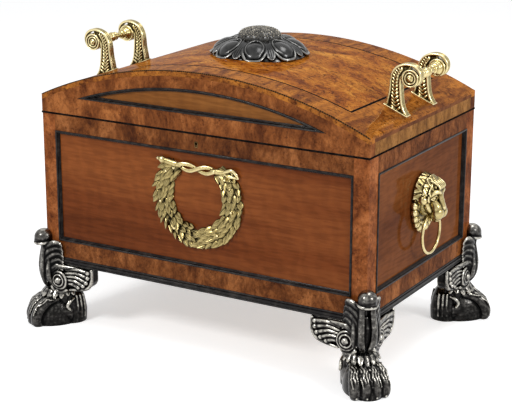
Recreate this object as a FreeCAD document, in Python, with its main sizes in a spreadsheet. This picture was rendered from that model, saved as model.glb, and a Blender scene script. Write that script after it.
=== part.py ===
import FreeCAD, Part
import math
import os
import Sketcher
from FreeCAD import Placement, Rotation, Vector

# A Regency cellarette: a panelled wine chest with an arched lid, on four carved lion-paw feet.
# X runs along the front, +Y to the back, +Z up. The origin is on the floor under the middle.

os.makedirs("parts", exist_ok=True)
doc = FreeCAD.newDocument("cellarette")
sheet = doc.addObject("Spreadsheet::Sheet", "Sizes")


class Size:
    """A length that knows both its value and the sheet formula it comes from."""

    def __init__(self, value, formula):
        self.value = float(value)
        self.formula = formula

    def __add__(self, other):
        other = as_size(other)
        return Size(self.value + other.value, f"({self.formula} + {other.formula})")

    def __sub__(self, other):
        other = as_size(other)
        return Size(self.value - other.value, f"({self.formula} - {other.formula})")

    def __mul__(self, other):
        other = as_size(other)
        return Size(self.value * other.value, f"({self.formula} * {other.formula})")

    def __truediv__(self, other):
        other = as_size(other)
        return Size(self.value / other.value, f"({self.formula} / {other.formula})")

    def __neg__(self):
        return Size(-self.value, f"(0 - {self.formula})")

    def root(self):
        return Size(math.sqrt(self.value), f"sqrt({self.formula})")


def as_size(number):
    return number if isinstance(number, Size) else Size(number, repr(float(number)))



# ---- driving sizes -------------------------------------------------------------------------

# the whole
case_width = 800
case_depth = 518
case_height = 346
leg_height = 144

# frame-and-panel case
frame_thick = 24
front_stile = 34
side_stile = 40
top_rail = 35.5
bottom_rail = 37.5
panel_recess = 7
panel_lap = 6
panel_thick = 9
arris = 1.5
bottom_thick = 14

# ebonised mouldings
base_height = 16
base_proud = 4
bead_height = 4.5
bead_proud = 2
moulding_width = 8
moulding_proud = 3

# lead liner and bottle divisions
liner_sheet = 2
liner_play = 0.5
liner_drop = 10
divider_thick = 7
divider_height = 210

# arched lid
lid_edge = 38
lid_rise = 88.5
lid_skin = 12
lid_sill = 37
lid_band = 37
stringing_end = 74
stringing_side = 64
stringing_width = 4
stringing_depth = 1.5

# lid handles
handle_foot = 389
handle_stem = 20
handle_reach = 44
handle_thick = 17
handle_spacing = 132
handle_arch = 36.5
handle_rise = 115
volute_radius = 20
volute_thick = 21
volute_lift = 123
bar_radius = 6.5
bar_reel = 9.5
bar_ball = 11

# hinges
hinge_spacing = 460
hinge_length = 60
hinge_reach = 26
leaf_thick = 1.7
leaf_gap = 0.1
knuckle_radius = 4.5
knuckle_gap = 0.2
pin_radius = 1.5
pin_play = 0.05

# lock
lock_width = 64
lock_height = 32
lock_depth = 11
lock_wall = 1.5
bolt_throw = 8
bolt_thick = 3
staple_spacing = 28
staple_width = 4
staple_drop = 12
keyhole_drop = 23.5
keyhole_radius = 3
keyhole_rim = 2
keyhole_fall = 6.5
link_thick = 1.5

# gilt mounts
wreath_radius = 85
wreath_drop = 144
wreath_band = 44
wreath_proud = 14
mask_drop = 154
mask_width = 100
mask_height = 132
mask_proud = 54
ring_radius = 44
ring_wire = 3.5
ring_reach = 27
ring_drop = 174
ring_play = 0.3
jaw_half = 6.5

# rosette
rosette_radius = 113
petal_height = 34
pod_radius = 48
pod_height = 58

# carved feet
foot_reach = 52
foot_heel = 86
foot_half = 45
wing_length = 126
wing_thick = 30
wing_proud = 8
scroll_radius = 23
scroll_along = 38
scroll_drop = 36
scroll_proud = 21
knee_height = 75

# ---- sizes on the sheet ----------------------------------------------------------------------

def on_sheet(row, alias, value):
    """Write one driving size to the sheet and give it back as a Size."""
    sheet.set(f"A{row}", alias)
    sheet.set(f"B{row}", str(value))
    sheet.setAlias(f"B{row}", alias)
    return Size(value, f"Sizes.{alias}")


driving = [name for name, value in globals().items() if type(value) in (int, float)]
for number, alias in enumerate(driving):
    globals()[alias] = on_sheet(number + 1, alias, globals()[alias])

# counts
bottles_wide = 6
bottles_deep = 4
petals = 8
pod_sides = 20
knuckles = 3

# ---- sizes that follow -----------------------------------------------------------------------

half_width = case_width / 2
half_depth = case_depth / 2
lid_joint = leg_height + case_height
base_top = leg_height + base_height
frame_top = lid_joint - bead_height
frame_rise = frame_top - base_top
opening_rise = frame_rise - top_rail - bottom_rail
lid_radius = (half_width * half_width + lid_rise * lid_rise) / (lid_rise * 2)
lid_axis = lid_joint + lid_edge + lid_rise - lid_radius
liner_bottom = base_top
liner_top = lid_joint - liner_drop
hinge_axis_y = half_depth + bead_proud + knuckle_radius + knuckle_gap * 2
bore_radius = pin_radius + pin_play


# ---- making tools ------------------------------------------------------------------------------

def bind(thing, prop, size):
    """Tie a property to the sheet."""
    thing.setExpression(prop, as_size(size).formula)


def place(thing, x, y, z, turn=None):
    """Put a piece at a point given in sheet sizes, after an optional turn."""
    x, y, z = as_size(x), as_size(y), as_size(z)
    thing.Placement = Placement(Vector(x.value, y.value, z.value), turn or Rotation())
    bind(thing, "Placement.Base.x", x)
    bind(thing, "Placement.Base.y", y)
    bind(thing, "Placement.Base.z", z)


def body_named(label):
    body = doc.addObject("PartDesign::Body", label)
    body.Label = label
    return body


def sketch_on(body, role, lift=0):
    """A sketch on one of the body's own origin planes, lifted along its normal."""
    sketch = body.newObject("Sketcher::SketchObject", f"{body.Name}_sketch")
    plane = [feature for feature in body.Origin.OriginFeatures if feature.Role == role][0]
    sketch.AttachmentSupport = [(plane, "")]
    sketch.MapMode = "FlatFace"
    bind(sketch, "AttachmentOffset.Base.z", lift)
    return sketch


def hold(sketch, geometry, point, position):
    """Tie one point of the sketch to its place."""
    for kind, size in zip(("DistanceX", "DistanceY"), position):
        index = sketch.addConstraint(Sketcher.Constraint(kind, -1, 1, geometry, point, size.value))
        bind(sketch, f"Constraints[{index}]", size)


def draw_outline(sketch, corners, arcs=None):
    """A closed outline through the corners. arcs gives side N a radius; a minus sign bends it inwards."""
    arcs = arcs or {}
    corners = [(as_size(x), as_size(y)) for x, y in corners]
    first = sketch.GeometryCount
    for side, start in enumerate(corners):
        end = corners[(side + 1) % len(corners)]
        begin = Vector(start[0].value, start[1].value, 0)
        finish = Vector(end[0].value, end[1].value, 0)
        if side not in arcs:
            sketch.addGeometry(Part.LineSegment(begin, finish), False)
            continue
        radius = abs(arcs[side].value)
        bend = math.copysign(1, arcs[side].value)
        across = finish - begin
        sag = radius - math.sqrt(max(radius ** 2 - (across.Length / 2) ** 2, 0))
        outward = Vector(across.y, -across.x, 0).normalize() * (sag * bend)
        curve = Part.Arc(begin, (begin + finish) * 0.5 + outward, finish)
        sketch.addGeometry(curve, False)
    for side, start in enumerate(corners):
        this_end = point_at(sketch, first + side, corners[side], 1)
        following = first + (side + 1) % len(corners)
        next_corner = corners[(side + 1) % len(corners)]
        far_end = 3 - this_end
        near_end = point_at(sketch, following, next_corner, 1)
        sketch.addConstraint(Sketcher.Constraint("Coincident", first + side, far_end, following, near_end))
    for side, start in enumerate(corners):
        hold(sketch, first + side, point_at(sketch, first + side, start, 1), start)
    for side, radius in arcs.items():
        index = sketch.addConstraint(Sketcher.Constraint("Radius", first + side, abs(radius.value)))
        bind(sketch, f"Constraints[{index}]", radius if radius.value > 0 else -radius)


def point_at(sketch, geometry, corner, first_choice):
    """Which end of a sketch curve lies at the corner: an arc may be stored back to front."""
    target = Vector(corner[0].value, corner[1].value, 0)
    start = sketch.getPoint(geometry, 1)
    end = sketch.getPoint(geometry, 2)
    return first_choice if start.distanceToPoint(target) <= end.distanceToPoint(target) else 3 - first_choice


def draw_circle(sketch, x, y, radius):
    x, y, radius = as_size(x), as_size(y), as_size(radius)
    circle = Part.Circle(Vector(x.value, y.value, 0), Vector(0, 0, 1), radius.value)
    index = sketch.addGeometry(circle, False)
    hold(sketch, index, 3, (x, y))
    index = sketch.addConstraint(Sketcher.Constraint("Radius", index, radius.value))
    bind(sketch, f"Constraints[{index}]", radius)


def pad(body, sketch, length, symmetric=False):
    feature = body.newObject("PartDesign::Pad", f"{body.Name}_pad")
    feature.Profile = sketch
    bind(feature, "Length", length)
    if symmetric:
        feature.SideType = "Symmetric"
    sketch.Visibility = False
    return feature


def pocket(body, sketch, depth=None, backwards=False):
    """A cut: right through both ways without a depth, or one way to the depth."""
    feature = body.newObject("PartDesign::Pocket", f"{body.Name}_pocket")
    feature.Profile = sketch
    if depth is None:
        feature.Type = "ThroughAll"
        feature.SideType = "Symmetric"
    else:
        bind(feature, "Length", depth)
        feature.Reversed = backwards
    return feature


def rectangle(x0, x1, y0, y1):
    return [(x0, y0), (x1, y0), (x1, y1), (x0, y1)]


def block(label, x0, x1, y0, y1, z0, z1):
    """A squared board between two opposite corners."""
    piece = doc.addObject("Part::Box", label)
    piece.Label = label
    bind(piece, "Length", as_size(x1) - x0)
    bind(piece, "Width", as_size(y1) - y0)
    bind(piece, "Height", as_size(z1) - z0)
    place(piece, x0, y0, z0)
    return piece


def rod(label, radius, length, x, y, z, turn):
    """A plain cylinder from a point, along the turned Z axis."""
    piece = doc.addObject("Part::Cylinder", label)
    piece.Label = label
    bind(piece, "Radius", radius)
    bind(piece, "Height", length)
    place(piece, x, y, z, turn)
    return piece


def fused(label, pieces):
    group = doc.addObject("Part::MultiFuse", label)
    group.Label = label
    group.Shapes = pieces
    group.Refine = True
    return group


def cut(label, base, tool):
    result = doc.addObject("Part::Cut", label)
    result.Label = label
    result.Base = base
    result.Tool = tool
    return result


def common(label, base, tool):
    result = doc.addObject("Part::Common", label)
    result.Label = label
    result.Base = base
    result.Tool = tool
    return result


def grouped(label, pieces):
    """Like pieces of one node, each still its own solid."""
    group = doc.addObject("Part::Compound", label)
    group.Label = label
    group.Links = pieces
    return group


def feature_of(label, shape):
    """A carved or cast piece whose faces are set out by its own rule."""
    piece = doc.addObject("Part::Feature", label)
    piece.Label = label
    piece.Shape = shape
    return piece


ALONG_X = Rotation(Vector(0, 1, 0), 90)
ALONG_Y = Rotation(Vector(1, 0, 0), -90)
FRONT_FACE = Rotation(Vector(1, 0, 0), 90)


def about_z(degrees):
    return Rotation(Vector(0, 0, 1), degrees)


# ---- case: posts, rails and panels ---------------------------------------------------------------

def corner_post(label, x_sign, y_sign):
    """An L-shaped corner post, rebated along both arms for the rails' tongues and the panels."""
    post = body_named(label)
    profile = [
        (arris, 0), (front_stile, 0), (front_stile, panel_recess),
        (front_stile - panel_lap, panel_recess), (front_stile - panel_lap, frame_thick),
        (frame_thick, frame_thick), (frame_thick, side_stile - panel_lap),
        (panel_recess, side_stile - panel_lap), (panel_recess, side_stile), (0, side_stile), (0, arris),
    ]
    sketch = sketch_on(post, "XY_Plane")
    draw_outline(sketch, [(as_size(x) * -x_sign, as_size(y) * -y_sign) for x, y in profile])
    pad(post, sketch, frame_rise)
    place(post, half_width * x_sign, half_depth * y_sign, base_top)
    return post


def rail(label, length, height):
    """A rail with a tongue at each end and a rebate along its upper edge that holds the panel."""
    piece = body_named(label)
    lip = sketch_on(piece, "XY_Plane")
    draw_outline(lip, rectangle(-length / 2, length / 2, 0, panel_recess))
    pad(piece, lip, height)
    core = sketch_on(piece, "XY_Plane")
    tongue = length / 2 + panel_lap
    draw_outline(core, rectangle(-tongue, tongue, panel_recess, frame_thick))
    pad(piece, core, height - panel_lap)
    return piece


UPSIDE_DOWN = Rotation(Vector(0, 1, 0), 180)
front_length = case_width - front_stile * 2
side_length = case_depth - side_stile * 2
sides = {
    "front": (0, -half_depth, about_z(0), front_length),
    "right": (half_width, 0, about_z(90), side_length),
    "back": (0, half_depth, about_z(180), front_length),
    "left": (-half_width, 0, about_z(-90), side_length),
}

for depth_name, y_sign in (("front", -1), ("back", 1)):
    for width_name, x_sign in (("left", -1), ("right", 1)):
        corner_post(f"{depth_name}_{width_name}_post", x_sign, y_sign)

rails = {}
for side, (x, y, turn, length) in sides.items():
    rails[side] = rail(f"{side}_top_rail", length, top_rail)
    place(rails[side], x, y, frame_top, turn.multiply(UPSIDE_DOWN))
    lower = rail(f"{side}_bottom_rail", length, bottom_rail)
    place(lower, x, y, base_top, turn)
    panel = body_named(f"{side}_panel")
    sketch = sketch_on(panel, "XY_Plane")
    reach = length / 2 + panel_lap
    draw_outline(sketch, rectangle(-reach, reach, panel_recess, panel_recess + panel_thick))
    pad(panel, sketch, opening_rise + panel_lap * 2)
    place(panel, x, y, base_top + bottom_rail - panel_lap, turn)

block("bottom_board", frame_thick - half_width, half_width - frame_thick, frame_thick - half_depth,
      half_depth - frame_thick, base_top - bottom_thick, base_top)


# ---- lock: mortise, keyhole, case, bolt, link plate ------------------------------------------------

def keyhole_outline(sketch, y, margin):
    """A round eye with a slot below it, drawn upright at height y of the sketch."""
    radius = keyhole_radius + margin
    neck = keyhole_radius * 0.5 + margin
    rise = (radius * radius - neck * neck).root()
    corners = [(-neck, y - rise), (-neck, y - keyhole_fall - margin), (neck, y - keyhole_fall - margin),
               (neck, y - rise)]
    first = sketch.GeometryCount
    for start, end in zip(corners, corners[1:]):
        sketch.addGeometry(Part.LineSegment(Vector(start[0].value, start[1].value, 0),
                                            Vector(end[0].value, end[1].value, 0)), False)
    eye = Part.Arc(Vector(neck.value, (y - rise).value, 0), Vector(0, (y + radius).value, 0),
                   Vector(-neck.value, (y - rise).value, 0))
    arc = sketch.addGeometry(eye, False)
    for side in range(2):
        sketch.addConstraint(Sketcher.Constraint("Coincident", first + side, 2, first + side + 1, 1))
    right_end = point_at(sketch, arc, corners[3], 1)
    sketch.addConstraint(Sketcher.Constraint("Coincident", first + 2, 2, arc, right_end))
    sketch.addConstraint(Sketcher.Constraint("Coincident", first, 1, arc, 3 - right_end))
    for side in range(3):
        hold(sketch, first + side, 1, corners[side])
    hold(sketch, first + 2, 2, corners[3])
    index = sketch.addConstraint(Sketcher.Constraint("Radius", arc, radius.value))
    bind(sketch, f"Constraints[{index}]", radius)


lock_back = frame_thick - half_depth
lock_front = lock_back - lock_depth
lock_top = lid_joint - link_thick
lock_mortise = block("lock_mortise", -lock_width / 2, lock_width / 2, lock_front, lock_back + 5,
                     lock_top - lock_height, lid_joint + 5)

rails["front"].Label = "front_top_rail_uncut"
key_cutter = body_named("key_cutter")
sketch = sketch_on(key_cutter, "XZ_Plane")
keyhole_outline(sketch, as_size(0), keyhole_rim)
pad(key_cutter, sketch, frame_thick)
place(key_cutter, 0, lock_front, lid_joint - keyhole_drop)
cut("front_top_rail", rails["front"], fused("front_rail_cuts", [lock_mortise, key_cutter]))

escutcheon = body_named("keyhole_escutcheon")
sketch = sketch_on(escutcheon, "XZ_Plane")
keyhole_outline(sketch, as_size(0), keyhole_rim)
keyhole_outline(sketch, as_size(0), as_size(0))
pad(escutcheon, sketch, frame_thick - lock_depth + arris / 2)
place(escutcheon, 0, lock_front, lid_joint - keyhole_drop)

lock_case_shell = cut(
    "lock_case_shell",
    block("lock_case_outside", -lock_width / 2, lock_width / 2, lock_front, lock_back,
          lock_top - lock_height, lock_top),
    block("lock_case_inside", lock_wall - lock_width / 2, lock_width / 2 - lock_wall,
          lock_front + lock_wall, lock_back - lock_wall, lock_top - lock_height + lock_wall,
          lock_top - lock_wall))
staple_slots = []
slot_length = bolt_throw + staple_width * 1.5
lock_middle = (lock_front + lock_back) / 2
for name, sign in (("left", -1), ("right", 1)):
    middle = staple_spacing / 2 * sign
    staple_slots.append(block(f"{name}_staple_slot", middle - slot_length / 2, middle + slot_length / 2,
                              lock_middle - staple_width, lock_middle + staple_width,
                              lock_top - lock_wall * 2, lock_top + lock_wall))
key_slot = body_named("key_slot")
sketch = sketch_on(key_slot, "XZ_Plane")
keyhole_outline(sketch, as_size(0), as_size(0))
pad(key_slot, sketch, lock_wall * 2)
place(key_slot, 0, lock_front + lock_wall * 1.5, lid_joint - keyhole_drop)
cut("lock_case", lock_case_shell, fused("lock_case_cuts", staple_slots + [key_slot]))

# The bolt is a bar with two hooked fingers that slide sideways into the eyes of the link plate's staples.
bolt_bottom = lock_top - lock_height + lock_wall
bar_high = bolt_bottom + bolt_thick * 2
finger_low = lock_top - staple_drop + staple_width
finger_high = finger_low + bolt_thick
lock_bolt = body_named("lock_bolt")
sketch = sketch_on(lock_bolt, "XZ_Plane")
left_tip = -staple_spacing / 2 - staple_width
right_tip = staple_spacing / 2 - staple_width
left_post = left_tip - bolt_throw
right_post = right_tip - bolt_throw
draw_outline(sketch, [
    (left_post - bolt_thick, bolt_bottom), (right_post, bolt_bottom), (right_post, finger_low),
    (right_tip, finger_low), (right_tip, finger_high), (right_post - bolt_thick, finger_high),
    (right_post - bolt_thick, bar_high), (left_post, bar_high), (left_post, finger_low),
    (left_tip, finger_low), (left_tip, finger_high), (left_post - bolt_thick, finger_high),
])
pad(lock_bolt, sketch, bolt_thick, symmetric=True)
place(lock_bolt, 0, lock_middle, 0)

staples = []
eye_low = finger_low - staple_width / 4
eye_high = finger_high + staple_width / 4
for name, sign in (("left", -1), ("right", 1)):
    staple = body_named(f"{name}_staple")
    sketch = sketch_on(staple, "YZ_Plane")
    arm = staple_width - staple_width / 4
    draw_outline(sketch, rectangle(-arm, arm, eye_low - staple_width / 2, lid_joint))
    draw_outline(sketch, rectangle(-arm + staple_width / 4, arm - staple_width / 4, eye_low, eye_high))
    pad(staple, sketch, staple_width, symmetric=True)
    place(staple, staple_spacing / 2 * sign, lock_middle, 0)
    staples.append(staple)
link_strip = block("link_strip", -lock_width / 2, lock_width / 2, lock_front, lock_back, lid_joint,
                   lid_joint + link_thick)
fused("link_plate", [link_strip] + staples)


# ---- mitred mouldings ------------------------------------------------------------------------------

def mitred_strip(label, length, width, profile, arcs):
    """A run of moulding along X, its ends cut back at 45 degrees towards the inner edge."""
    strip = body_named(label)
    section = sketch_on(strip, "YZ_Plane")
    draw_outline(section, profile, arcs)
    pad(strip, section, length)
    ends = sketch_on(strip, "XY_Plane")
    beyond = width * 1.5
    draw_outline(ends, [(-width, -width), (beyond, beyond), (-width, beyond)])
    draw_outline(ends, [(length + width, -width), (length + width, beyond), (length - beyond, beyond)])
    pocket(strip, ends)
    return strip


def mitred_ring(label, length_x, length_y, width, profile, arcs=None):
    """Four strips with mitred corners, set around a rectangle centred on the ring's own origin."""
    runs = [
        (length_x, -length_x / 2, -length_y / 2, 0), (length_y, length_x / 2, -length_y / 2, 90),
        (length_x, length_x / 2, length_y / 2, 180), (length_y, -length_x / 2, length_y / 2, 270),
    ]
    strips = []
    for number, (length, x, y, degrees) in enumerate(runs):
        strip = mitred_strip(f"{label}_strip_{number}", length, width, profile, arcs)
        place(strip, x, y, 0, about_z(degrees))
        strips.append(strip)
    return strips


# Panel moulding: a rounded bead at the frame and a cove down to the panel.
full = panel_recess + moulding_proud
bead_width = moulding_width * 0.6
cove_edge = panel_recess * 0.4
panel_profile = [(0, 0), (moulding_width, 0), (moulding_width, cove_edge), (bead_width, full - bead_width / 2),
                 (bead_width / 2, full), (0, panel_recess)]
cove_radius = moulding_width
panel_arcs = {2: -cove_radius, 4: bead_width}

for side in ("front", "right", "left"):
    x, y, turn, length = sides[side]
    strips = mitred_ring(f"{side}_panel_moulding", length, opening_rise, moulding_width, panel_profile,
                         panel_arcs)
    ring = grouped(f"{side}_panel_moulding", strips)
    inward = turn.multVec(Vector(0, 1, 0))
    place(ring, as_size(x) + panel_recess * round(inward.x), as_size(y) + panel_recess * round(inward.y),
          base_top + bottom_rail + opening_rise / 2, turn.multiply(FRONT_FACE))

# Base moulding: a torus over a fillet, under the whole frame.
base_width = frame_thick + base_proud
fillet_edge = base_height * 0.3
base_profile = [(base_proud / 2, 0), (base_width, 0), (base_width, base_height), (base_proud, base_height),
                (base_proud / 2, base_height - fillet_edge / 2), (base_proud / 2, base_height - fillet_edge),
                (0, base_height - fillet_edge), (0, fillet_edge)]
set_back = base_proud / 2
torus_radius = (set_back * set_back + fillet_edge * fillet_edge) / (set_back * 2)
strips = mitred_ring("base_moulding", case_width + base_proud * 2, case_depth + base_proud * 2, base_width,
                     base_profile, {7: torus_radius})
place(grouped("base_moulding", strips), 0, 0, leg_height)

# Case bead: a half-round edge on top of the frame, where the lid shuts.
bead_run = frame_thick + bead_proud
bead_profile = [(bead_proud, 0), (bead_run, 0), (bead_run, bead_height), (bead_proud, bead_height)]
strips = mitred_ring("case_bead", case_width + bead_proud * 2, case_depth + bead_proud * 2, bead_run,
                     bead_profile, {3: bead_height * 0.6})
strips[0] = cut("case_bead_front", strips[0], block(
    "bead_lock_notch", -lock_width / 2, lock_width / 2, lock_front, lock_back + 5,
    -bead_height, bead_height * 2))
hinge_beds = []
for name, sign in (("left", -1), ("right", 1)):
    middle = hinge_spacing / 2 * sign
    hinge_beds.append(block(
        f"{name}_hinge_bed", middle - hinge_length / 2, middle + hinge_length / 2,
        hinge_axis_y - hinge_reach, half_depth + bead_proud * 2,
        bead_height - leaf_thick - leaf_gap, bead_height * 2))
strips[2] = cut("case_bead_back", strips[2], fused("case_hinge_beds", hinge_beds))
place(grouped("case_bead", strips), 0, 0, frame_top)


# ---- liner and bottle divisions -----------------------------------------------------------------------

liner_x = half_width - frame_thick - liner_play
liner_y = half_depth - frame_thick - liner_play
liner = body_named("lead_liner")
sketch = sketch_on(liner, "XY_Plane")
draw_outline(sketch, rectangle(-liner_x, liner_x, -liner_y, liner_y))
pad(liner, sketch, liner_sheet)
sketch = sketch_on(liner, "XY_Plane")
draw_outline(sketch, rectangle(-liner_x, liner_x, -liner_y, liner_y))
draw_outline(sketch, rectangle(liner_sheet - liner_x, liner_x - liner_sheet,
                               liner_sheet - liner_y, liner_y - liner_sheet))
pad(liner, sketch, liner_top - liner_bottom)
place(liner, 0, 0, liner_bottom)

inner_x = liner_x - liner_sheet - liner_play
inner_y = liner_y - liner_sheet - liner_play
cell_x = (inner_x * 2 - divider_thick * (bottles_wide - 1)) / bottles_wide
cell_y = (inner_y * 2 - divider_thick * (bottles_deep - 1)) / bottles_deep
half_lap = divider_height / 2


def slat(label, plane, reach, cell, count, slots_up):
    """A division board, half-lapped at each crossing: slots from above or from below."""
    board = body_named(label)
    edge = []
    for crossing in range(1, count):
        middle = (cell + divider_thick) * crossing - divider_thick / 2 - reach
        low, high = middle - divider_thick / 2, middle + divider_thick / 2
        level = divider_height if slots_up else as_size(0)
        edge += [(low, level), (low, half_lap), (high, half_lap), (high, level)]
    if slots_up:
        corners = [(-reach, 0), (reach, 0), (reach, divider_height)] + edge[::-1] + [(-reach, divider_height)]
    else:
        corners = [(-reach, 0)] + edge + [(reach, 0), (reach, divider_height), (-reach, divider_height)]
    sketch = sketch_on(board, plane)
    draw_outline(sketch, corners)
    pad(board, sketch, divider_thick, symmetric=True)
    return board


floor_level = liner_bottom + liner_sheet
long_slats = []
for row in range(1, bottles_deep):
    board = slat(f"long_slat_{row}", "XZ_Plane", inner_x, cell_x, bottles_wide, True)
    place(board, 0, (cell_y + divider_thick) * row - divider_thick / 2 - inner_y, floor_level)
    long_slats.append(board)
grouped("divider_long_slats", long_slats)
cross_slats = []
for column in range(1, bottles_wide):
    board = slat(f"cross_slat_{column}", "YZ_Plane", inner_y, cell_y, bottles_deep, False)
    place(board, (cell_x + divider_thick) * column - divider_thick / 2 - inner_x, 0, floor_level)
    cross_slats.append(board)
grouped("divider_cross_slats", cross_slats)


# ---- lid ---------------------------------------------------------------------------------------------

def arched_plate(label, lower_by, thickness):
    """A plate in the lid's cross-section, from the joint up to an arch lowered by some thickness."""
    plate = body_named(label)
    sketch = sketch_on(plate, "XZ_Plane")
    draw_outline(sketch, [(-half_width, 0), (half_width, 0), (half_width, lid_edge - lower_by),
                          (-half_width, lid_edge - lower_by)], {2: lid_radius})
    pad(plate, sketch, thickness)
    return plate, sketch


lid_top_uncut = body_named("lid_top_uncut")
sketch = sketch_on(lid_top_uncut, "XZ_Plane")
draw_outline(sketch, [(-half_width, lid_edge - lid_skin), (half_width, lid_edge - lid_skin),
                      (half_width, lid_edge), (-half_width, lid_edge)],
             {0: -lid_radius, 2: lid_radius})
pad(lid_top_uncut, sketch, case_depth, symmetric=True)
place(lid_top_uncut, 0, 0, lid_joint)

# The stringing is a thin black line let into the veneer as a rectangle that follows the arch.
line_x = half_width - stringing_end
line_y = half_depth - stringing_side
above = lid_joint + lid_edge + lid_rise * 2


def stringing_blank(label):
    outside = block(f"{label}_outside", -line_x, line_x, -line_y, line_y, lid_joint, above)
    inside = block(f"{label}_inside", stringing_width - line_x, line_x - stringing_width,
                   stringing_width - line_y, line_y - stringing_width, lid_joint - lid_edge, above + lid_edge)
    return cut(f"{label}_frame", outside, inside)


def lid_cylinder(label, radius):
    """A cylinder on the axis of the lid's arch, longer than the lid is deep."""
    return rod(label, radius, case_depth * 1.5, 0, case_depth * -0.75, lid_axis, ALONG_Y)


arch_ring = cut("arch_ring", lid_cylinder("arch_outside", lid_radius),
                lid_cylinder("arch_inside", lid_radius - stringing_depth))
stringing = common("lid_stringing", stringing_blank("stringing"), arch_ring)
cut("lid_top", lid_top_uncut, stringing)

# Front of the lid: an arched frame around a lens-shaped recessed panel.
opening_radius = lid_radius - lid_band
arch_level = lid_edge + lid_rise - lid_radius


def half_chord(radius, height):
    """Half the width of a circle about the arch's axis, at a height above the lid joint."""
    over = height - arch_level
    return (radius * radius - over * over).root()


def lens(sketch, radius, low):
    """An arc above a level chord."""
    reach = half_chord(radius, low)
    draw_outline(sketch, [(-reach, low), (reach, low)], {1: radius})


def lens_plate(label, radius, low, thickness):
    """A plate whose outline is a lens."""
    plate = body_named(label)
    sketch = sketch_on(plate, "XZ_Plane")
    lens(sketch, radius, low)
    pad(plate, sketch, thickness)
    return plate


front_frame, sketch = arched_plate("lid_front_blank", lid_skin, frame_thick)
lens(sketch, opening_radius, lid_sill)
place(front_frame, 0, frame_thick - half_depth, lid_joint)
rebate = lens_plate("lid_panel_rebate", opening_radius + panel_lap, lid_sill - panel_lap,
                    frame_thick - panel_recess)
place(rebate, 0, frame_thick - half_depth, lid_joint)
link_bed = block("link_bed", -lock_width / 2, lock_width / 2, lock_front, lock_back, lid_joint - link_thick,
                 lid_joint + link_thick)
cut("lid_front_frame", front_frame, fused("lid_front_cuts", [rebate, link_bed]))

lid_panel = lens_plate("lid_front_panel", opening_radius + panel_lap, lid_sill - panel_lap, panel_thick)
place(lid_panel, 0, panel_recess + panel_thick - half_depth, lid_joint)

# Its moulding: a straight strip along the sill and an arched strip above, meeting in fine points.
sill_strip = lens_plate("lid_sill_moulding", opening_radius, lid_sill, full)
sketch = sketch_on(sill_strip, "XZ_Plane")
draw_outline(sketch, rectangle(-half_width, half_width, lid_sill + moulding_width, lid_edge + lid_rise))
pocket(sill_strip, sketch)
place(sill_strip, 0, panel_recess - half_depth, lid_joint)
arch_strip = lens_plate("lid_arch_moulding", opening_radius, lid_sill + moulding_width, full)
sketch = sketch_on(arch_strip, "XZ_Plane")
draw_circle(sketch, 0, arch_level, opening_radius - moulding_width)
pocket(arch_strip, sketch)
place(arch_strip, 0, panel_recess - half_depth, lid_joint)
grouped("lid_front_moulding", [sill_strip, arch_strip])

back_frame, sketch = arched_plate("lid_back_blank", lid_skin, frame_thick)
place(back_frame, 0, half_depth, lid_joint)
lid_beds = []
for name, sign in (("left", -1), ("right", 1)):
    middle = hinge_spacing / 2 * sign
    lid_beds.append(block(f"lid_{name}_hinge_bed", middle - hinge_length / 2, middle + hinge_length / 2,
                          hinge_axis_y - hinge_reach, half_depth + bead_proud, lid_joint - leaf_thick,
                          lid_joint + leaf_thick + leaf_gap))
cut("lid_back_frame", back_frame, fused("lid_hinge_beds", lid_beds))

under_skin = rod("lid_under_skin", lid_radius, case_depth * 1.5, 0, case_depth * -0.75, lid_axis - lid_skin,
                 ALONG_Y)
for name, sign in (("left", -1), ("right", 1)):
    inner = half_width - frame_thick
    low_x, high_x = (inner, half_width) if sign > 0 else (-half_width, -inner)
    blank = block(f"lid_{name}_rail_blank", low_x, high_x, frame_thick - half_depth,
                  half_depth - frame_thick, lid_joint, lid_joint + lid_edge * 2)
    common(f"lid_{name}_rail", blank, under_skin)


# ---- lid handles: two cast scroll brackets at each end -------------------------------------------------

def crown_radius(reach, rise):
    """Radius of an arc that rises to its crown over a given reach."""
    return (reach * reach + rise * rise) / (rise * 2)


def handle_bracket(label, y):
    """A scroll bracket on the right of the lid: a tapering stem, an arch and a volute that curls back."""
    bracket = body_named(label)
    scroll_x = handle_foot + handle_arch / 6
    outer_x = scroll_x - handle_reach
    stem_x = outer_x + handle_stem
    foot_outer = outer_x - handle_stem / 2
    stem = sketch_on(bracket, "XZ_Plane")
    draw_outline(stem, [
        (foot_outer, lid_sill / 2), (handle_foot, lid_sill / 2), (handle_foot - handle_stem * 0.6, lid_rise * 0.7),
        (stem_x, handle_rise), (scroll_x, handle_rise + handle_arch - handle_stem),
        (scroll_x, handle_rise + handle_arch), (outer_x, handle_rise), (outer_x - handle_stem / 3, lid_rise * 0.8),
    ], {3: -crown_radius(handle_reach - handle_stem, handle_arch - handle_stem),
        5: crown_radius(handle_reach, handle_arch)})
    pad(bracket, stem, handle_thick, symmetric=True)
    curl = sketch_on(bracket, "XZ_Plane")
    curl_radius = (volute_radius + handle_rise + handle_arch - volute_lift) / 2
    draw_circle(curl, scroll_x, handle_rise + handle_arch - curl_radius, curl_radius)
    pad(bracket, curl, handle_thick, symmetric=True)
    volute = sketch_on(bracket, "XZ_Plane")
    draw_circle(volute, scroll_x, volute_lift, volute_radius)
    pad(bracket, volute, volute_thick, symmetric=True)
    bed = sketch_on(bracket, "XZ_Plane")
    draw_circle(bed, 0, arch_level, lid_radius)
    pocket(bracket, bed)
    place(bracket, 0, y, lid_joint)
    return bracket, scroll_x


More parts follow.
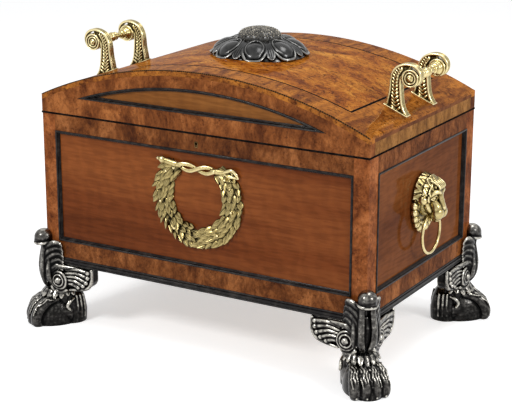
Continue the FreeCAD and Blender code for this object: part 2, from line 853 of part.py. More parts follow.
pairs = []
for name, turn in (("right", 0), ("left", 180)):
    brackets = []
    for number, sign in enumerate((-1, 1)):
        bracket, scroll_x = handle_bracket(f"{name}_bracket_{number}", handle_spacing / 2 * sign)
        brackets.append(bracket)
    pair = grouped(f"{name}_bracket_pair", brackets)
    pair.Placement = Placement(Vector(), about_z(turn))
    pairs.append(pair)
grouped("lid_handle_brackets", pairs)


# ---- hinges ---------------------------------------------------------------------------------------------

knuckle_length = hinge_length / knuckles


def hinge_leaf(label, middle, low, high, own_knuckles, bore):
    """A leaf let into the wood, with its own knuckles of the barrel."""
    left = middle - hinge_length / 2
    leaf_edge = hinge_axis_y - knuckle_radius - knuckle_gap * 2
    pieces = [block(f"{label}_plate", left, left + hinge_length, hinge_axis_y - hinge_reach, leaf_edge,
                    low, high)]
    for number in own_knuckles:
        start = left + knuckle_length * number + knuckle_gap / 2
        length = knuckle_length - knuckle_gap
        pieces.append(block(f"{label}_tang_{number}", start, start + length, leaf_edge, hinge_axis_y, low,
                            high))
        pieces.append(rod(f"{label}_knuckle_{number}", knuckle_radius, length, start, hinge_axis_y,
                          lid_joint, ALONG_X))
    hole = rod(f"{label}_bore", bore, hinge_length * 1.5, left - hinge_length / 4, hinge_axis_y, lid_joint,
               ALONG_X)
    return cut(label, fused(f"{label}_solid", pieces), hole)


case_leaves, lid_leaves, pins = [], [], []
for name, sign in (("left", -1), ("right", 1)):
    middle = hinge_spacing / 2 * sign
    case_leaves.append(hinge_leaf(f"{name}_case_leaf", middle, lid_joint - leaf_gap - leaf_thick,
                                  lid_joint - leaf_gap, (0, 2), pin_radius))
    lid_leaves.append(hinge_leaf(f"{name}_lid_leaf", middle, lid_joint + leaf_gap,
                                 lid_joint + leaf_gap + leaf_thick, (1,), bore_radius))
    pins.append(rod(f"{name}_hinge_pin", pin_radius, hinge_length - knuckle_gap,
                    middle - hinge_length / 2 + knuckle_gap / 2, hinge_axis_y, lid_joint, ALONG_X))
grouped("case_hinge_leaves", case_leaves)
grouped("lid_hinge_leaves", lid_leaves)
grouped("hinge_pins", pins)


# ---- carved and cast pieces ---------------------------------------------------------------------------

def oval_ring(centre, across, along, level, facets):
    """Points where tangents to an ellipse meet, in level planes: the same facet angles at every size."""
    points = []
    for number in range(facets):
        first = 2 * math.pi * number / facets
        second = first + 2 * math.pi / facets
        reach_first = math.hypot(across * math.cos(first), along * math.sin(first))
        reach_second = math.hypot(across * math.cos(second), along * math.sin(second))
        turn = math.sin(second - first)
        x = (reach_first * math.sin(second) - reach_second * math.sin(first)) / turn
        y = (reach_second * math.cos(first) - reach_first * math.cos(second)) / turn
        points.append(Vector(centre[0] + x, centre[1] + y, level))
    return points


def sound_solid(faces):
    """Close a set of faces into a solid whose skin faces outward."""
    solid = Part.makeSolid(Part.makeShell(faces))
    if solid.Volume < 0:
        solid.reverse()
    return solid


def carved_block(levels, facets):
    """A solid cut in flat facets through oval sections: (level, centre x, centre y, half x, half y)."""
    rings = [oval_ring((cx, cy), across, along, level, facets) for level, cx, cy, across, along in levels]
    faces = [Part.Face(Part.makePolygon(rings[0] + rings[0][:1])),
             Part.Face(Part.makePolygon(rings[-1] + rings[-1][:1]))]
    for lower, upper in zip(rings, rings[1:]):
        for number in range(facets):
            following = (number + 1) % facets
            corners = [lower[number], lower[following], upper[following], upper[number], lower[number]]
            faces.append(Part.Face(Part.makePolygon(corners)))
    return sound_solid(faces)


def turned_to(shape, turn, move=Vector()):
    shape = shape.copy()
    shape.Placement = Placement(move, turn)
    return shape


def flat_prism(points, thickness):
    """A flat board with the outline given in X and Z, its front at y = 0."""
    outline = [Vector(x, 0, z) for x, z in points]
    return Part.Face(Part.makePolygon(outline + outline[:1])).extrude(Vector(0, thickness, 0))


DIAGONAL = Rotation(Vector(0, 0, 1), -45)


def paw_foot():
    """A lion's paw set diagonally, for the corner at +X, -Y, with that corner as its own origin.

    Before it is turned, x points out along the diagonal.
    """
    heel, reach, half = foot_heel.value, foot_reach.value, foot_half.value
    top, waist = leg_height.value, knee_height.value
    back = -heel
    profile = (
        # share of the waist's height, front of the section, share of the half-width
        (0.0, reach - 16, 0.82), (0.17, reach - 10, 0.88), (0.60, reach - 19, 0.86),
        (0.76, reach - 28, 0.78), (0.88, reach - 38, 0.66), (0.93, reach - 52, 0.60), (1.0, reach - 62, 0.58),
        (1.38, reach - 43, 0.84), (1.70, reach - 35, 0.96), (top / waist, reach - 34, 1.0),
    )
    levels = []
    for share, front, breadth in profile:
        levels.append((waist * share, (front + back) / 2, 0, (front - back) / 2, half * breadth))
    knee = top - waist
    leg = carved_block(levels, 12)

    toes = []
    for place_across in (-0.74, -0.25, 0.25, 0.74):
        forward = reach - 20 - 10 * abs(place_across)
        width = half * 0.28
        toe = ((0, 0, 17, 0.84), (9, 2, 19, 1.0), (24, -2, 18, 1.0), (38, -12, 9, 0.6))
        toes.append(carved_block([(level, forward + shift, half * place_across, length, width * breadth)
                                  for level, shift, length, breadth in toe], 6))

    # Outside the corner a ribbed stem climbs from the knee to a rounded cap that overhangs it.
    stem = ((waist + knee * 0.4, -8, 16, 17), (top - 14, 3, 17, 19), (top + 16, 2, 15, 17),
            (top + 38, -1, 14, 16), (top + 43, 5, 20, 21), (top + 54, 6, 21, 23), (top + 68, 5, 17, 19),
            (top + 76, 3, 9, 11))
    corner_stem = carved_block([(level, centre, 0, out, breadth) for level, centre, out, breadth in stem], 10)
    solid = leg.fuse(toes + [corner_stem])
    solid.Placement = Placement(Vector(), DIAGONAL)

    # Acanthus leaves fold back from the stem on to both faces of the corner.
    leaf = [(0, top - 2), (-26, top + 4), (-40, top + 20), (-37, top + 34), (-22, top + 42), (0, top + 46)]
    thickness = 9
    front_leaf = flat_prism(leaf, thickness)
    front_leaf.translate(Vector(0, -thickness, 0))
    side_leaf = front_leaf.copy().mirror(Vector(), Vector(1, 1, 0))
    solid = solid.fuse([front_leaf, side_leaf])
    return solid.cut(corner_of_case()).removeSplitter()


def corner_of_case():
    """The case corner that a foot is let on to: base moulding below, frame above."""
    reach = foot_heel.value * 2
    proud = base_proud.value
    base = Part.makeBox(reach, reach, base_height.value, Vector(proud - reach, -proud, leg_height.value))
    frame = Part.makeBox(reach, reach, leg_height.value, Vector(-reach, 0, base_top.value))
    return base.fuse(frame)


def foot_wing():
    """The front bracket of a foot: a shell-shaped wing below the base, with a scroll at its root."""
    top, reach = leg_height.value, wing_length.value
    root = scroll_along.value
    thickness, step = wing_thick.value, wing_proud.value
    wing = flat_prism([
        (-root / 2, top), (-reach, top), (-reach, top - 32), (4 - reach, top - 42), (18 - reach, top - 51),
        (36 - reach, top - 56), (60 - reach, top - 61), (-root - 12, top - 66), (-root / 2, top - 68),
    ], thickness)
    wing.translate(Vector(0, -step, 0))
    radius, proud = scroll_radius.value, scroll_proud.value
    centre = Vector(-root, 0, top - scroll_drop.value)
    scroll = carved_block([(-thickness, 0, 0, radius, radius), (proud - 3, 0, 0, radius, radius),
                           (proud, 0, 0, radius * 0.88, radius * 0.88)], 16)
    eye = carved_block([(0, 0, 0, radius * 0.45, radius * 0.45),
                        (proud + 4, 0, 0, radius * 0.38, radius * 0.38)], 8)
    return wing.fuse([turned_to(scroll, FRONT_FACE, centre), turned_to(eye, FRONT_FACE, centre)])


foot_shape = paw_foot()
front_wing = foot_wing().cut(foot_shape)
side_wing = front_wing.mirror(Vector(), Vector(1, 1, 0))
corners = {"front_right": (1, -1, 0), "back_right": (1, 1, 90), "back_left": (-1, 1, 180),
           "front_left": (-1, -1, 270)}
for name, (x_sign, y_sign, degrees) in corners.items():
    spot = Vector(half_width.value * x_sign, half_depth.value * y_sign, 0)
    foot = feature_of(f"{name}_foot", foot_shape)
    foot.Placement = Placement(spot, about_z(degrees))
    solids = front_wing.Solids[:1] + side_wing.Solids[:1]
    wings = feature_of(f"{name}_foot_wings", Part.makeCompound(solids))
    wings.Placement = Placement(spot, about_z(degrees))


def handle_bar():
    """A turned bar along Z: a ball in the middle, a reel on each side of it and two at each end."""
    rod_out, reel_out, ball_out = bar_radius.value, bar_reel.value, bar_ball.value
    reach = (handle_spacing.value - volute_thick.value) / 2
    reel = rod_out / 2
    ball_edge = math.sqrt(ball_out ** 2 - reel_out ** 2)
    half = [
        (0, ball_out), (ball_edge * 0.6, math.sqrt(ball_out ** 2 - (ball_edge * 0.6) ** 2)),
        (ball_edge, reel_out), (ball_edge + reel, reel_out), (ball_edge + reel, rod_out * 0.8),
        (reach - reel * 4, rod_out), (reach - reel * 4, reel_out), (reach - reel * 3, reel_out),
        (reach - reel * 2, rod_out), (reach - reel, reel_out), (reach, reel_out),
    ]
    profile = [(-along, out) for along, out in half[:0:-1]] + half
    return carved_block([(along, 0, 0, out, out) for along, out in profile], 10)


def rosette_flower():
    """Eight rounded petals around a disc, hollowed below to sit on the arch."""
    radius, height = rosette_radius.value, petal_height.value
    ring = radius * 0.655
    below = -radius * 0.09
    along, across = radius * 0.345, ring * math.tan(math.pi / petals) * 1.04
    petal = carved_block([(below, ring, 0, along, across), (height * 0.12, ring, 0, along, across),
                          (height * 0.42, ring * 0.95, 0, along * 0.90, across * 0.92),
                          (height * 0.72, ring * 0.88, 0, along * 0.72, across * 0.80),
                          (height, ring * 0.76, 0, along * 0.40, across * 0.50)], 8)
    disc = carved_block([(below, 0, 0, radius * 0.86, radius * 0.86), (height * 0.5, 0, 0, radius * 0.8,
                                                                       radius * 0.8)], 16)
    flower = disc.fuse([turned_to(petal, about_z(360 / petals * (number + 0.5))) for number in range(petals)])
    arch = Part.makeCylinder(lid_radius.value, radius * 3, Vector(0, -radius * 1.5, -lid_radius.value),
                             Vector(0, 1, 0))
    corner_reach = pod_radius.value / math.cos(math.pi / pod_sides)
    pod_seat = Part.makeCylinder(corner_reach, pod_height.value, Vector(0, 0, height * 0.5))
    return flower.cut(arch).cut(pod_seat)


def seed_pod():
    """The domed seed head in the middle of the flower."""
    radius, top, low = pod_radius.value, pod_height.value, petal_height.value * 0.5
    profile = ((low, 0.92), (top * 0.62, 1.0), (top * 0.80, 0.93), (top * 0.93, 0.78), (top, 0.56))
    return carved_block([(level, 0, 0, radius * share, radius * share) for level, share in profile], pod_sides)


both_bars = []
for sign in (-1, 1):
    middle = Vector(scroll_x.value * sign, 0, (lid_joint + volute_lift).value)
    both_bars.append(turned_to(handle_bar(), ALONG_Y, middle))
feature_of("lid_handle_bars", Part.makeCompound(both_bars))

crown = Vector(0, 0, (lid_joint + lid_edge + lid_rise).value)
feature_of("lid_rosette", rosette_flower()).Placement = Placement(crown, Rotation())
feature_of("rosette_seed_pod", seed_pod()).Placement = Placement(crown, Rotation())


def laurel_leaf(length, width, rise, bedded):
    """A pointed leaf lying along +X: four facets that meet at a raised midrib."""
    outline = [Vector(0, 0, bedded), Vector(length * 0.45, -width / 2, bedded), Vector(length, 0, bedded),
               Vector(length * 0.45, width / 2, bedded)]
    ridge = Vector(length * 0.45, 0, rise)
    faces = [Part.Face(Part.makePolygon(outline + outline[:1]))]
    for start, end in zip(outline, outline[1:] + outline[:1]):
        faces.append(Part.Face(Part.makePolygon([start, end, ridge, start])))
    return sound_solid(faces)


def wreath():
    """Two sprays of laurel that meet at the bottom, laid on a backing band that is open at the top."""
    radius, band, proud = wreath_radius.value, wreath_band.value, wreath_proud.value
    open_half = 42
    stations = 11
    leaves = []
    for side in (-1, 1):
        for number in range(stations):
            angle = open_half + (180 - open_half) * number / stations
            for row in (-1, 1):
                around = math.radians(angle)
                out = radius + row * band * 0.22
                spot = Vector(out * math.sin(around) * side, out * math.cos(around), 0)
                heading = 20 * row - angle if side > 0 else 180 + angle - 20 * row
                leaf = laurel_leaf(band * 0.72, band * 0.42, proud, proud * 0.3)
                leaves.append(turned_to(leaf, about_z(heading), spot))
    sides = 32
    half_arc = 360 - 2 * open_half
    edge = []
    for out, order in ((radius - band * 0.42, range(sides + 1)), (radius + band * 0.42, range(sides, -1, -1))):
        for number in order:
            around = math.radians(open_half + half_arc * number / sides)
            edge.append(Vector(out * math.sin(around), out * math.cos(around), 0))
    backing = Part.Face(Part.makePolygon(edge + edge[:1])).extrude(Vector(0, 0, proud * 0.5))
    return backing.fuse(leaves)


def wreath_ribbon():
    """Two ribbons crossed over each other above the sprays."""
    reach, proud = wreath_radius.value * 1.14, wreath_proud.value
    wave, breadth, steps = 6, 9, 18
    level = wreath_radius.value * 0.81
    solid = None
    for start in (-1, 1):
        top, bottom = [], []
        for number in range(steps + 1):
            x = reach * (2 * number / steps - 1)
            height = level + start * wave * math.sin(3 * math.pi * x / (2 * reach))
            top.append(Vector(x, height + breadth / 2, 0))
            bottom.append(Vector(x, height - breadth / 2, 0))
        outline = top + bottom[::-1]
        strip = Part.Face(Part.makePolygon(outline + outline[:1])).extrude(Vector(0, 0, proud))
        solid = strip if solid is None else solid.fuse(strip)
    return solid


panel_front = Vector(0, (panel_recess - half_depth).value, (lid_joint - wreath_drop).value)
sprays = wreath()
ribbon = wreath_ribbon()
feature_of("laurel_wreath", sprays.cut(ribbon)).Placement = Placement(panel_front, FRONT_FACE)
feature_of("wreath_ribbon", ribbon).Placement = Placement(panel_front, FRONT_FACE)


def lion_mask():
    """A lion's head facing +Z, chin towards -Y; the ring's centre line crosses the mouth along X."""
    half, tall, proud = mask_width.value / 2, mask_height.value / 2, mask_proud.value
    head = carved_block([
        (0, 0, 0, half * 0.86, tall * 0.90), (proud * 0.20, 0, 0, half * 0.86, tall * 0.90),
        (proud * 0.45, 0, tall * 0.12, half * 0.78, tall * 0.76),
        (proud * 0.64, 0, tall * 0.22, half * 0.60, tall * 0.60),
        (proud * 0.78, 0, tall * 0.26, half * 0.34, tall * 0.38)], 12)
    muzzle = carved_block([
        (proud * 0.3, 0, -tall * 0.12, half * 0.50, tall * 0.40),
        (proud * 0.70, 0, -tall * 0.12, half * 0.46, tall * 0.34),
        (proud * 0.92, 0, -tall * 0.13, half * 0.36, tall * 0.26),
        (proud, 0, -tall * 0.12, half * 0.20, tall * 0.16)], 10)
    locks = []
    count = 12
    for number in range(count):
        angle = 360 / count * (number + 0.5)
        around = math.radians(angle)
        lock = carved_block([(0, 0, 0, tall * 0.16, half * 0.24),
                             (proud * 0.20, -tall * 0.03, 0, tall * 0.17, half * 0.24),
                             (proud * 0.35, -tall * 0.12, 0, tall * 0.10, half * 0.13)], 6)
        spot = Vector(half * 0.80 * math.cos(around), tall * 0.84 * math.sin(around), 0)
        locks.append(turned_to(lock, about_z(angle), spot))
    solid = head.fuse(locks + [muzzle])

    mouth_y = mask_drop.value - ring_drop.value
    jaw, out = jaw_half.value, ring_reach.value
    sag = ring_radius.value - math.sqrt(ring_radius.value ** 2 - jaw ** 2)
    bore = ring_wire.value + sag + ring_play.value
    room = bore * 1.6
    width = mask_width.value
    mouth = Part.makeBox(width, width, proud, Vector(-width / 2, mouth_y + bore - width, out - room))
    chin = Part.makeBox(jaw * 2, bore * 3, proud, Vector(-jaw, mouth_y - bore * 2, out - room * 2))
    lower_jaw = chin.common(Part.makeBox(jaw * 2, bore * 3, out + bore * 1.9, Vector(-jaw, mouth_y - bore * 2, 0)))
    solid = solid.cut(mouth).fuse(lower_jaw)
    hole = Part.makeCylinder(bore, width, Vector(-width / 2, mouth_y, out), Vector(1, 0, 0))
    return solid.cut(hole)


def bent_ring(around, facets):
    """A round ring about Z, bent from straight lengths of a many-sided bar."""
    sections = []
    for number in range(around):
        turn = about_z(360 / around * number)
        corners = []
        for side in range(facets):
            angle = 2 * math.pi * (side + 0.5) / facets
            out = ring_radius.value + ring_wire.value * math.cos(angle)
            corners.append(turn.multVec(Vector(out, 0, ring_wire.value * math.sin(angle))))
        sections.append(corners)
    faces = []
    for here, there in zip(sections, sections[1:] + sections[:1]):
        for side in range(facets):
            following = (side + 1) % facets
            corners = [here[side], here[following], there[following], there[side], here[side]]
            faces.append(Part.Face(Part.makePolygon(corners)))
    return sound_solid(faces)


mask_shape = lion_mask()
ring_shape = bent_ring(32, 6)
FACING_RIGHT = Rotation(Vector(0, 0, 1), 90).multiply(FRONT_FACE)
FACING_LEFT = Rotation(Vector(0, 0, 1), -90).multiply(FRONT_FACE)
for name, sign, turn in (("right", 1, FACING_RIGHT), ("left", -1, FACING_LEFT)):
    face_x = (half_width - panel_recess) * sign
    mask = feature_of(f"{name}_lion_mask", mask_shape)
    mask.Placement = Placement(Vector(face_x.value, 0, (lid_joint - mask_drop).value), turn)
    ring = feature_of(f"{name}_ring", ring_shape)
    hang = Vector((face_x + ring_reach * sign).value, 0, (lid_joint - ring_drop - ring_radius).value)
    ring.Placement = Placement(hang, ALONG_X)

doc.recompute()


# ---- check and write --------------------------------------------------------------------------------------

NODES = (
    [f"{depth}_{width}_post" for depth in ("front", "back") for width in ("left", "right")]
    + [f"{side}_{piece}" for side in sides for piece in ("top_rail", "bottom_rail", "panel")]
    + [f"{side}_panel_moulding" for side in ("front", "right", "left")]
    + ["bottom_board", "base_moulding", "case_bead", "lead_liner", "divider_long_slats", "divider_cross_slats"]
    + ["lock_case", "lock_bolt", "link_plate", "keyhole_escutcheon"]
    + ["lid_top", "lid_stringing", "lid_front_frame", "lid_front_panel", "lid_front_moulding",
       "lid_back_frame", "lid_left_rail", "lid_right_rail", "lid_rosette", "rosette_seed_pod"]
    + ["lid_handle_brackets", "lid_handle_bars"]
    + ["case_hinge_leaves", "lid_hinge_leaves", "hinge_pins", "laurel_wreath", "wreath_ribbon"]
    + [f"{side}_{piece}" for side in ("left", "right") for piece in ("lion_mask", "ring")]
    + [f"{corner}_{piece}" for corner in corners for piece in ("foot", "foot_wings")]
)

for thing in doc.Objects:
    if "Invalid" in thing.State or "Error" in thing.State:
        raise RuntimeError(f"{thing.Label} did not build: {thing.State}")

for node in NODES:
    matches = [thing for thing in doc.Objects if thing.Label == node]
    shape = matches[0].Shape
    if shape.isNull() or not shape.isValid() or not shape.Solids:
        raise RuntimeError(f"{node} has no sound shape")
    shape.exportStep(f"parts/{node}.step")
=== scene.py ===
import bmesh
import bpy
import math
import numpy as np
from mathutils import Matrix, Vector


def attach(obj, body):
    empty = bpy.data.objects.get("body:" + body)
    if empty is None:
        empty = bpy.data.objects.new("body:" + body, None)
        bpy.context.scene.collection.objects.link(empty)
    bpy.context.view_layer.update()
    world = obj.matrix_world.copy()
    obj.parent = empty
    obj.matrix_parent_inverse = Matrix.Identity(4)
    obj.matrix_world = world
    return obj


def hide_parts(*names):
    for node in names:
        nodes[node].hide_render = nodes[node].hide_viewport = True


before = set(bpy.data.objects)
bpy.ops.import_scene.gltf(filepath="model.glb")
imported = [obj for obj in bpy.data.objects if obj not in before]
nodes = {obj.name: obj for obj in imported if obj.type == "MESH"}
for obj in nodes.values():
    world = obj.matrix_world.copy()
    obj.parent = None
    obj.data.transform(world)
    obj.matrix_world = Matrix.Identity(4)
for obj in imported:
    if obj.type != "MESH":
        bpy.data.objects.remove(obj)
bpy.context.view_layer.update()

# The chest is dressed from the floor up: frame, panels and mouldings, feet, linings, lock, lid, mounts.
MM = 0.001


# ---- the frame of the case ---------------------------------------------------------------------
# Corner posts and rails of softwood, faced with burr veneer laid across each member.
# The veneer is scraped flat, stained and French polished.

def add_node(tree, kind, inputs=None, **settings):
    """A node of a tree with its settings and inputs; an input may be a value or another node's output."""
    made = tree.nodes.new(kind)
    for name, value in settings.items():
        setattr(made, name, value)
    for socket, value in (inputs or {}).items():
        if isinstance(value, bpy.types.NodeSocket):
            tree.links.new(value, made.inputs[socket])
        else:
            made.inputs[socket].default_value = value
    return made


def new_finish(name, roughness, metallic=0.0, coat=0.0, shine=0.5):
    """A finish with its shader set, still without colour. Gives the material, its tree and the shader."""
    finish = bpy.data.materials.new(name)
    finish.use_nodes = True
    shader = finish.node_tree.nodes["Principled BSDF"]
    shader.inputs["Roughness"].default_value = roughness
    shader.inputs["Metallic"].default_value = metallic
    shader.inputs["Coat Weight"].default_value = coat
    shader.inputs["Specular IOR Level"].default_value = shine
    shader.inputs["Coat Roughness"].default_value = 0.06
    return finish, finish.node_tree, shader


def coloured(tree, shader, colour):
    tree.links.new(colour, shader.inputs["Base Color"])


def maths(tree, operation, *values):
    """A step of arithmetic on numbers or on other nodes' outputs."""
    return add_node(tree, "ShaderNodeMath", dict(enumerate(values)), operation=operation).outputs[0]


def stretched(tree, scale=(1, 1, 1), turn=(0, 0, 0)):
    """Object coordinates, squeezed along the grain."""
    where = add_node(tree, "ShaderNodeTexCoord")
    place = add_node(tree, "ShaderNodeMapping", {"Vector": where.outputs["Object"], "Scale": scale,
                                                 "Rotation": turn})
    return place.outputs["Vector"]


def ramp(tree, factor, stops):
    """A colour ramp from (position, colour) stops."""
    made = add_node(tree, "ShaderNodeValToRGB", {"Fac": factor})
    marks = made.color_ramp.elements
    for number, (position, colour) in enumerate(stops):
        mark = marks[number] if number < len(marks) else marks.new(position)
        mark.position = position
        mark.color = (*colour, 1)
    return made.outputs["Color"]


def mixed(tree, factor, first, second, kind="MIX"):
    made = add_node(tree, "ShaderNodeMix", data_type="RGBA", blend_type=kind)
    for socket, value in ((0, factor), (6, first), (7, second)):
        if isinstance(value, bpy.types.NodeSocket):
            tree.links.new(value, made.inputs[socket])
        elif socket == 0:
            made.inputs[socket].default_value = value
        else:
            made.inputs[socket].default_value = (*value, 1)
    return made.outputs[2]


def noise(tree, vector, scale, detail=4.0, rough=0.55, distortion=0.0):
    made = add_node(tree, "ShaderNodeTexNoise", {"Vector": vector, "Scale": scale, "Detail": detail,
                                                 "Roughness": rough, "Distortion": distortion})
    return made.outputs["Fac"]


def bumped(tree, shader, height, strength, distance):
    made = add_node(tree, "ShaderNodeBump", {"Height": height, "Strength": strength, "Distance": distance})
    tree.links.new(made.outputs["Normal"], shader.inputs["Normal"])


def veneer(name, light, middle, dark, grain, roughness, coat=0.12, flecks=0.75):
    """Polished veneer: cloudy figure, fine grain along the wood and dark burr flecks."""
    finish, tree, shader = new_finish(name, roughness, coat=coat, shine=0.0)
    figure = noise(tree, stretched(tree, grain), 19.0, 7.0, 0.70, 0.5)
    cloud = ramp(tree, figure, [(0.36, dark), (0.50, middle), (0.64, light)])
    fine = noise(tree, stretched(tree, tuple(8 * part for part in grain)), 22.0, 3.0, 0.6)
    threads = ramp(tree, fine, [(0.38, (0.46, 0.38, 0.32)), (0.58, (1.1, 1.06, 1.0))])
    wood = mixed(tree, 0.5, cloud, threads, "MULTIPLY")
    eyes = noise(tree, stretched(tree), 110.0, 6.0, 0.74, 1.6)
    speck = ramp(tree, eyes, [(0.54, (1, 1, 1)), (0.66, (0.22, 0.13, 0.08))])
    wood = mixed(tree, flecks, wood, speck, "MULTIPLY")
    coloured(tree, shader, wood)
    bumped(tree, shader, fine, 0.12, 0.0004)
    return finish


def dress(finish, *names):
    """Give parts of the frame a finish."""
    for name in names:
        part = nodes[name]
        part.data.materials.clear()
        part.data.materials.append(finish)


upright_veneer = veneer("post_veneer", (0.42, 0.145, 0.046), (0.27, 0.080, 0.020), (0.12, 0.029, 0.006),
                        (1, 1, 0.8), 0.34)
across_veneer = veneer("rail_veneer", (0.32, 0.115, 0.034), (0.165, 0.051, 0.012), (0.060, 0.015, 0.003),
                       (1, 1, 0.55), 0.34)
dress(upright_veneer, *[f"{depth}_{width}_post" for depth in ("front", "back")
                        for width in ("left", "right")])
dress(across_veneer, *[f"{side}_{level}_rail" for side in ("front", "right", "back", "left")
                       for level in ("top", "bottom")])


# ---- the panels --------------------------------------------------------------------------------
# Plain straight-grained mahogany, held in the rebates of the frame, the grain level.
# A faint ripple runs across the grain.

def mahogany(name, light, middle, dark, grain, ripple_turn):
    finish, tree, shader = new_finish(name, 0.38, coat=0.12, shine=0.0)
    long_way = stretched(tree, grain)
    figure = noise(tree, long_way, 5.0, 5.0, 0.6, 0.4)
    body = ramp(tree, figure, [(0.36, dark), (0.5, middle), (0.66, light)])
    pores = noise(tree, stretched(tree, tuple(part * 6 for part in grain)), 30.0, 2.0, 0.5)
    lines = ramp(tree, pores, [(0.38, (0.55, 0.5, 0.46)), (0.58, (1, 1, 1))])
    wood = mixed(tree, 0.45, body, lines, "MULTIPLY")
    ripple = add_node(tree, "ShaderNodeTexWave", {
        "Vector": stretched(tree, turn=ripple_turn), "Scale": 9.0, "Distortion": 8.0, "Detail": 3.0,
        "Detail Scale": 2.0}).outputs["Fac"]
    glow = ramp(tree, ripple, [(0.2, (0.82, 0.8, 0.78)), (0.8, (1.1, 1.08, 1.05))])
    wood = mixed(tree, 0.3, wood, glow, "MULTIPLY")
    coloured(tree, shader, wood)
    bumped(tree, shader, pores, 0.1, 0.0003)
    return finish


front_wood = mahogany("front_panel_wood", (0.24, 0.068, 0.016), (0.158, 0.038, 0.008), (0.086, 0.018, 0.003),
                      (0.12, 1, 1), (0, 0.25, 0))
side_wood = mahogany("side_panel_wood", (0.27, 0.090, 0.026), (0.175, 0.054, 0.014), (0.100, 0.026, 0.006),
                     (1, 0.12, 1), (0.25, 0, math.pi / 2))
dress(front_wood, "front_panel", "back_panel")
dress(side_wood, "right_panel", "left_panel")


# ---- bottom board and bottle divisions -----------------------------------------------------------
# Plain deal boards, half-lapped where they cross and left unpolished.

plain_wood = veneer("plain_deal", (0.50, 0.34, 0.19), (0.42, 0.26, 0.13), (0.30, 0.17, 0.08), (0.15, 0.15, 1),
                    0.62, coat=0.0, flecks=0.15)
dress(plain_wood, "bottom_board", "divider_long_slats", "divider_cross_slats")


# ---- lead liner ------------------------------------------------------------------------------------
# Sheet lead, beaten to the case and dulled to grey with pale blooms.

lead, tree, shader = new_finish("dull_lead", 0.52, metallic=0.75)
bloom = noise(tree, stretched(tree), 14.0, 6.0, 0.65)
coloured(tree, shader, ramp(tree, bloom, [(0.35, (0.13, 0.135, 0.145)), (0.7, (0.32, 0.33, 0.34))]))
bumped(tree, shader, noise(tree, stretched(tree), 30.0, 3.0), 0.35, 0.002)
dress(lead, "lead_liner")


# ---- ebonised mouldings ----------------------------------------------------------------------------
# Pearwood run with reeds, stained black and waxed. Mitred at the corners and glued in.

ebonised, tree, shader = new_finish("ebonised_pearwood", 0.3, coat=0.06, shine=0.12)
wear = noise(tree, stretched(tree), 60.0, 5.0, 0.7)
coloured(tree, shader, ramp(tree, wear, [(0.45, (0.006, 0.005, 0.005)), (0.72, (0.040, 0.034, 0.03))]))
bumped(tree, shader, wear, 0.25, 0.0004)


def placed(name, data):
    """An object of the scene that holds a mesh, a lamp or a camera."""
    made = bpy.data.objects.new(name, data)
    bpy.context.scene.collection.objects.link(made)
    return made


def finish_piece(name, mesh, finish, body, stands_for=(), smooth_up_to=40):
    """Make a mesh the finished piece: merged, facing out, shaded, riding on its body."""
    shape = bmesh.new()
    shape.from_mesh(mesh)
    bmesh.ops.remove_doubles(shape, verts=shape.verts, dist=0.00001)
    bmesh.ops.recalc_face_normals(shape, faces=shape.faces)
    shape.to_mesh(mesh)
    shape.free()
    mesh.shade_smooth()
    mesh.set_sharp_from_angle(angle=math.radians(smooth_up_to))
    mesh.materials.clear()
    mesh.materials.append(finish)
    piece = placed(name, mesh)
    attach(piece, body)
    if stands_for:
        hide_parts(*stands_for)
    return piece


def circle(count):
    """Points round a circle of radius one."""
    return [(math.cos(2 * math.pi * n / count), math.sin(2 * math.pi * n / count)) for n in range(count)]


def bands(rows, around, joined=False):
    """Faces between rows of points, each row a closed loop; the last row may join the first."""
    faces = []
    for row in range(rows if joined else rows - 1):
        low, high = row * around, (row + 1) % rows * around
        for n in range(around):
            after = (n + 1) % around
            faces.append((low + n, low + after, high + after, high + n))
    return faces


def caps(rows, around):
    """The two faces that close a stack of rows."""
    return [tuple(range(around))[::-1], tuple((rows - 1) * around + n for n in range(around))]


def lofted(name, loops, join_ends=True):
    """A mesh skinned over closed loops of points, the last joined to the first or both ends closed."""
    rows, around = len(loops), len(loops[0])
    faces = bands(rows, around, join_ends)
    if not join_ends:
        faces = caps(rows, around) + faces
    mesh = bpy.data.meshes.new(name)
    mesh.from_pydata([point for loop in loops for point in loop], [], faces)
    return mesh


def reed(start, end, bulge, steps=6):
    """Points of a rounded reed from one point of a section to another, swelling to its left."""
    start, end = Vector(start), Vector(end)
    along = end - start
    out = Vector((-along.y, along.x)).normalized() * bulge
    return [tuple(start + along * (0.5 - 0.5 * math.cos(math.pi * n / steps))
                  + out * math.sin(math.pi * n / steps)) for n in range(steps + 1)]


# inward distance and height over the panel, in millimetres
panel_section = (reed((0.0, 6.6), (4.4, 7.0), 2.9) + reed((4.6, 5.2), (6.6, 4.4), 1.1)
                 + [(7.2, 2.6), (7.9, 2.2), (7.9, 0.0), (0.0, 0.0)])

half_x, half_y = 400.0, 259.0
stile_front, stile_side = 34.0, 40.0
panel_low, panel_high = 197.5, 450.0
recess = 7.0
sides = {
    "front": (Vector((0, -half_y, 0)), Vector((1, 0, 0)), Vector((0, -1, 0)), half_x - stile_front),
    "right": (Vector((half_x, 0, 0)), Vector((0, 1, 0)), Vector((1, 0, 0)), half_y - stile_side),
    "left": (Vector((-half_x, 0, 0)), Vector((0, -1, 0)), Vector((-1, 0, 0)), half_y - stile_side),
}
for side, (middle, along, out, reach) in sides.items():
    loops = []
    for inward, height in panel_section:
        corners = [(-reach + inward, panel_low + inward), (reach - inward, panel_low + inward),
                   (reach - inward, panel_high - inward), (-reach + inward, panel_high - inward)]
        loops.append([(middle + along * x + out * (height - recess) + Vector((0, 0, z))) * MM
                      for x, z in corners])
    finish_piece(f"{side}_panel_reeding", lofted(side, loops), ebonised, "case",
                 [f"{side}_panel_moulding"])

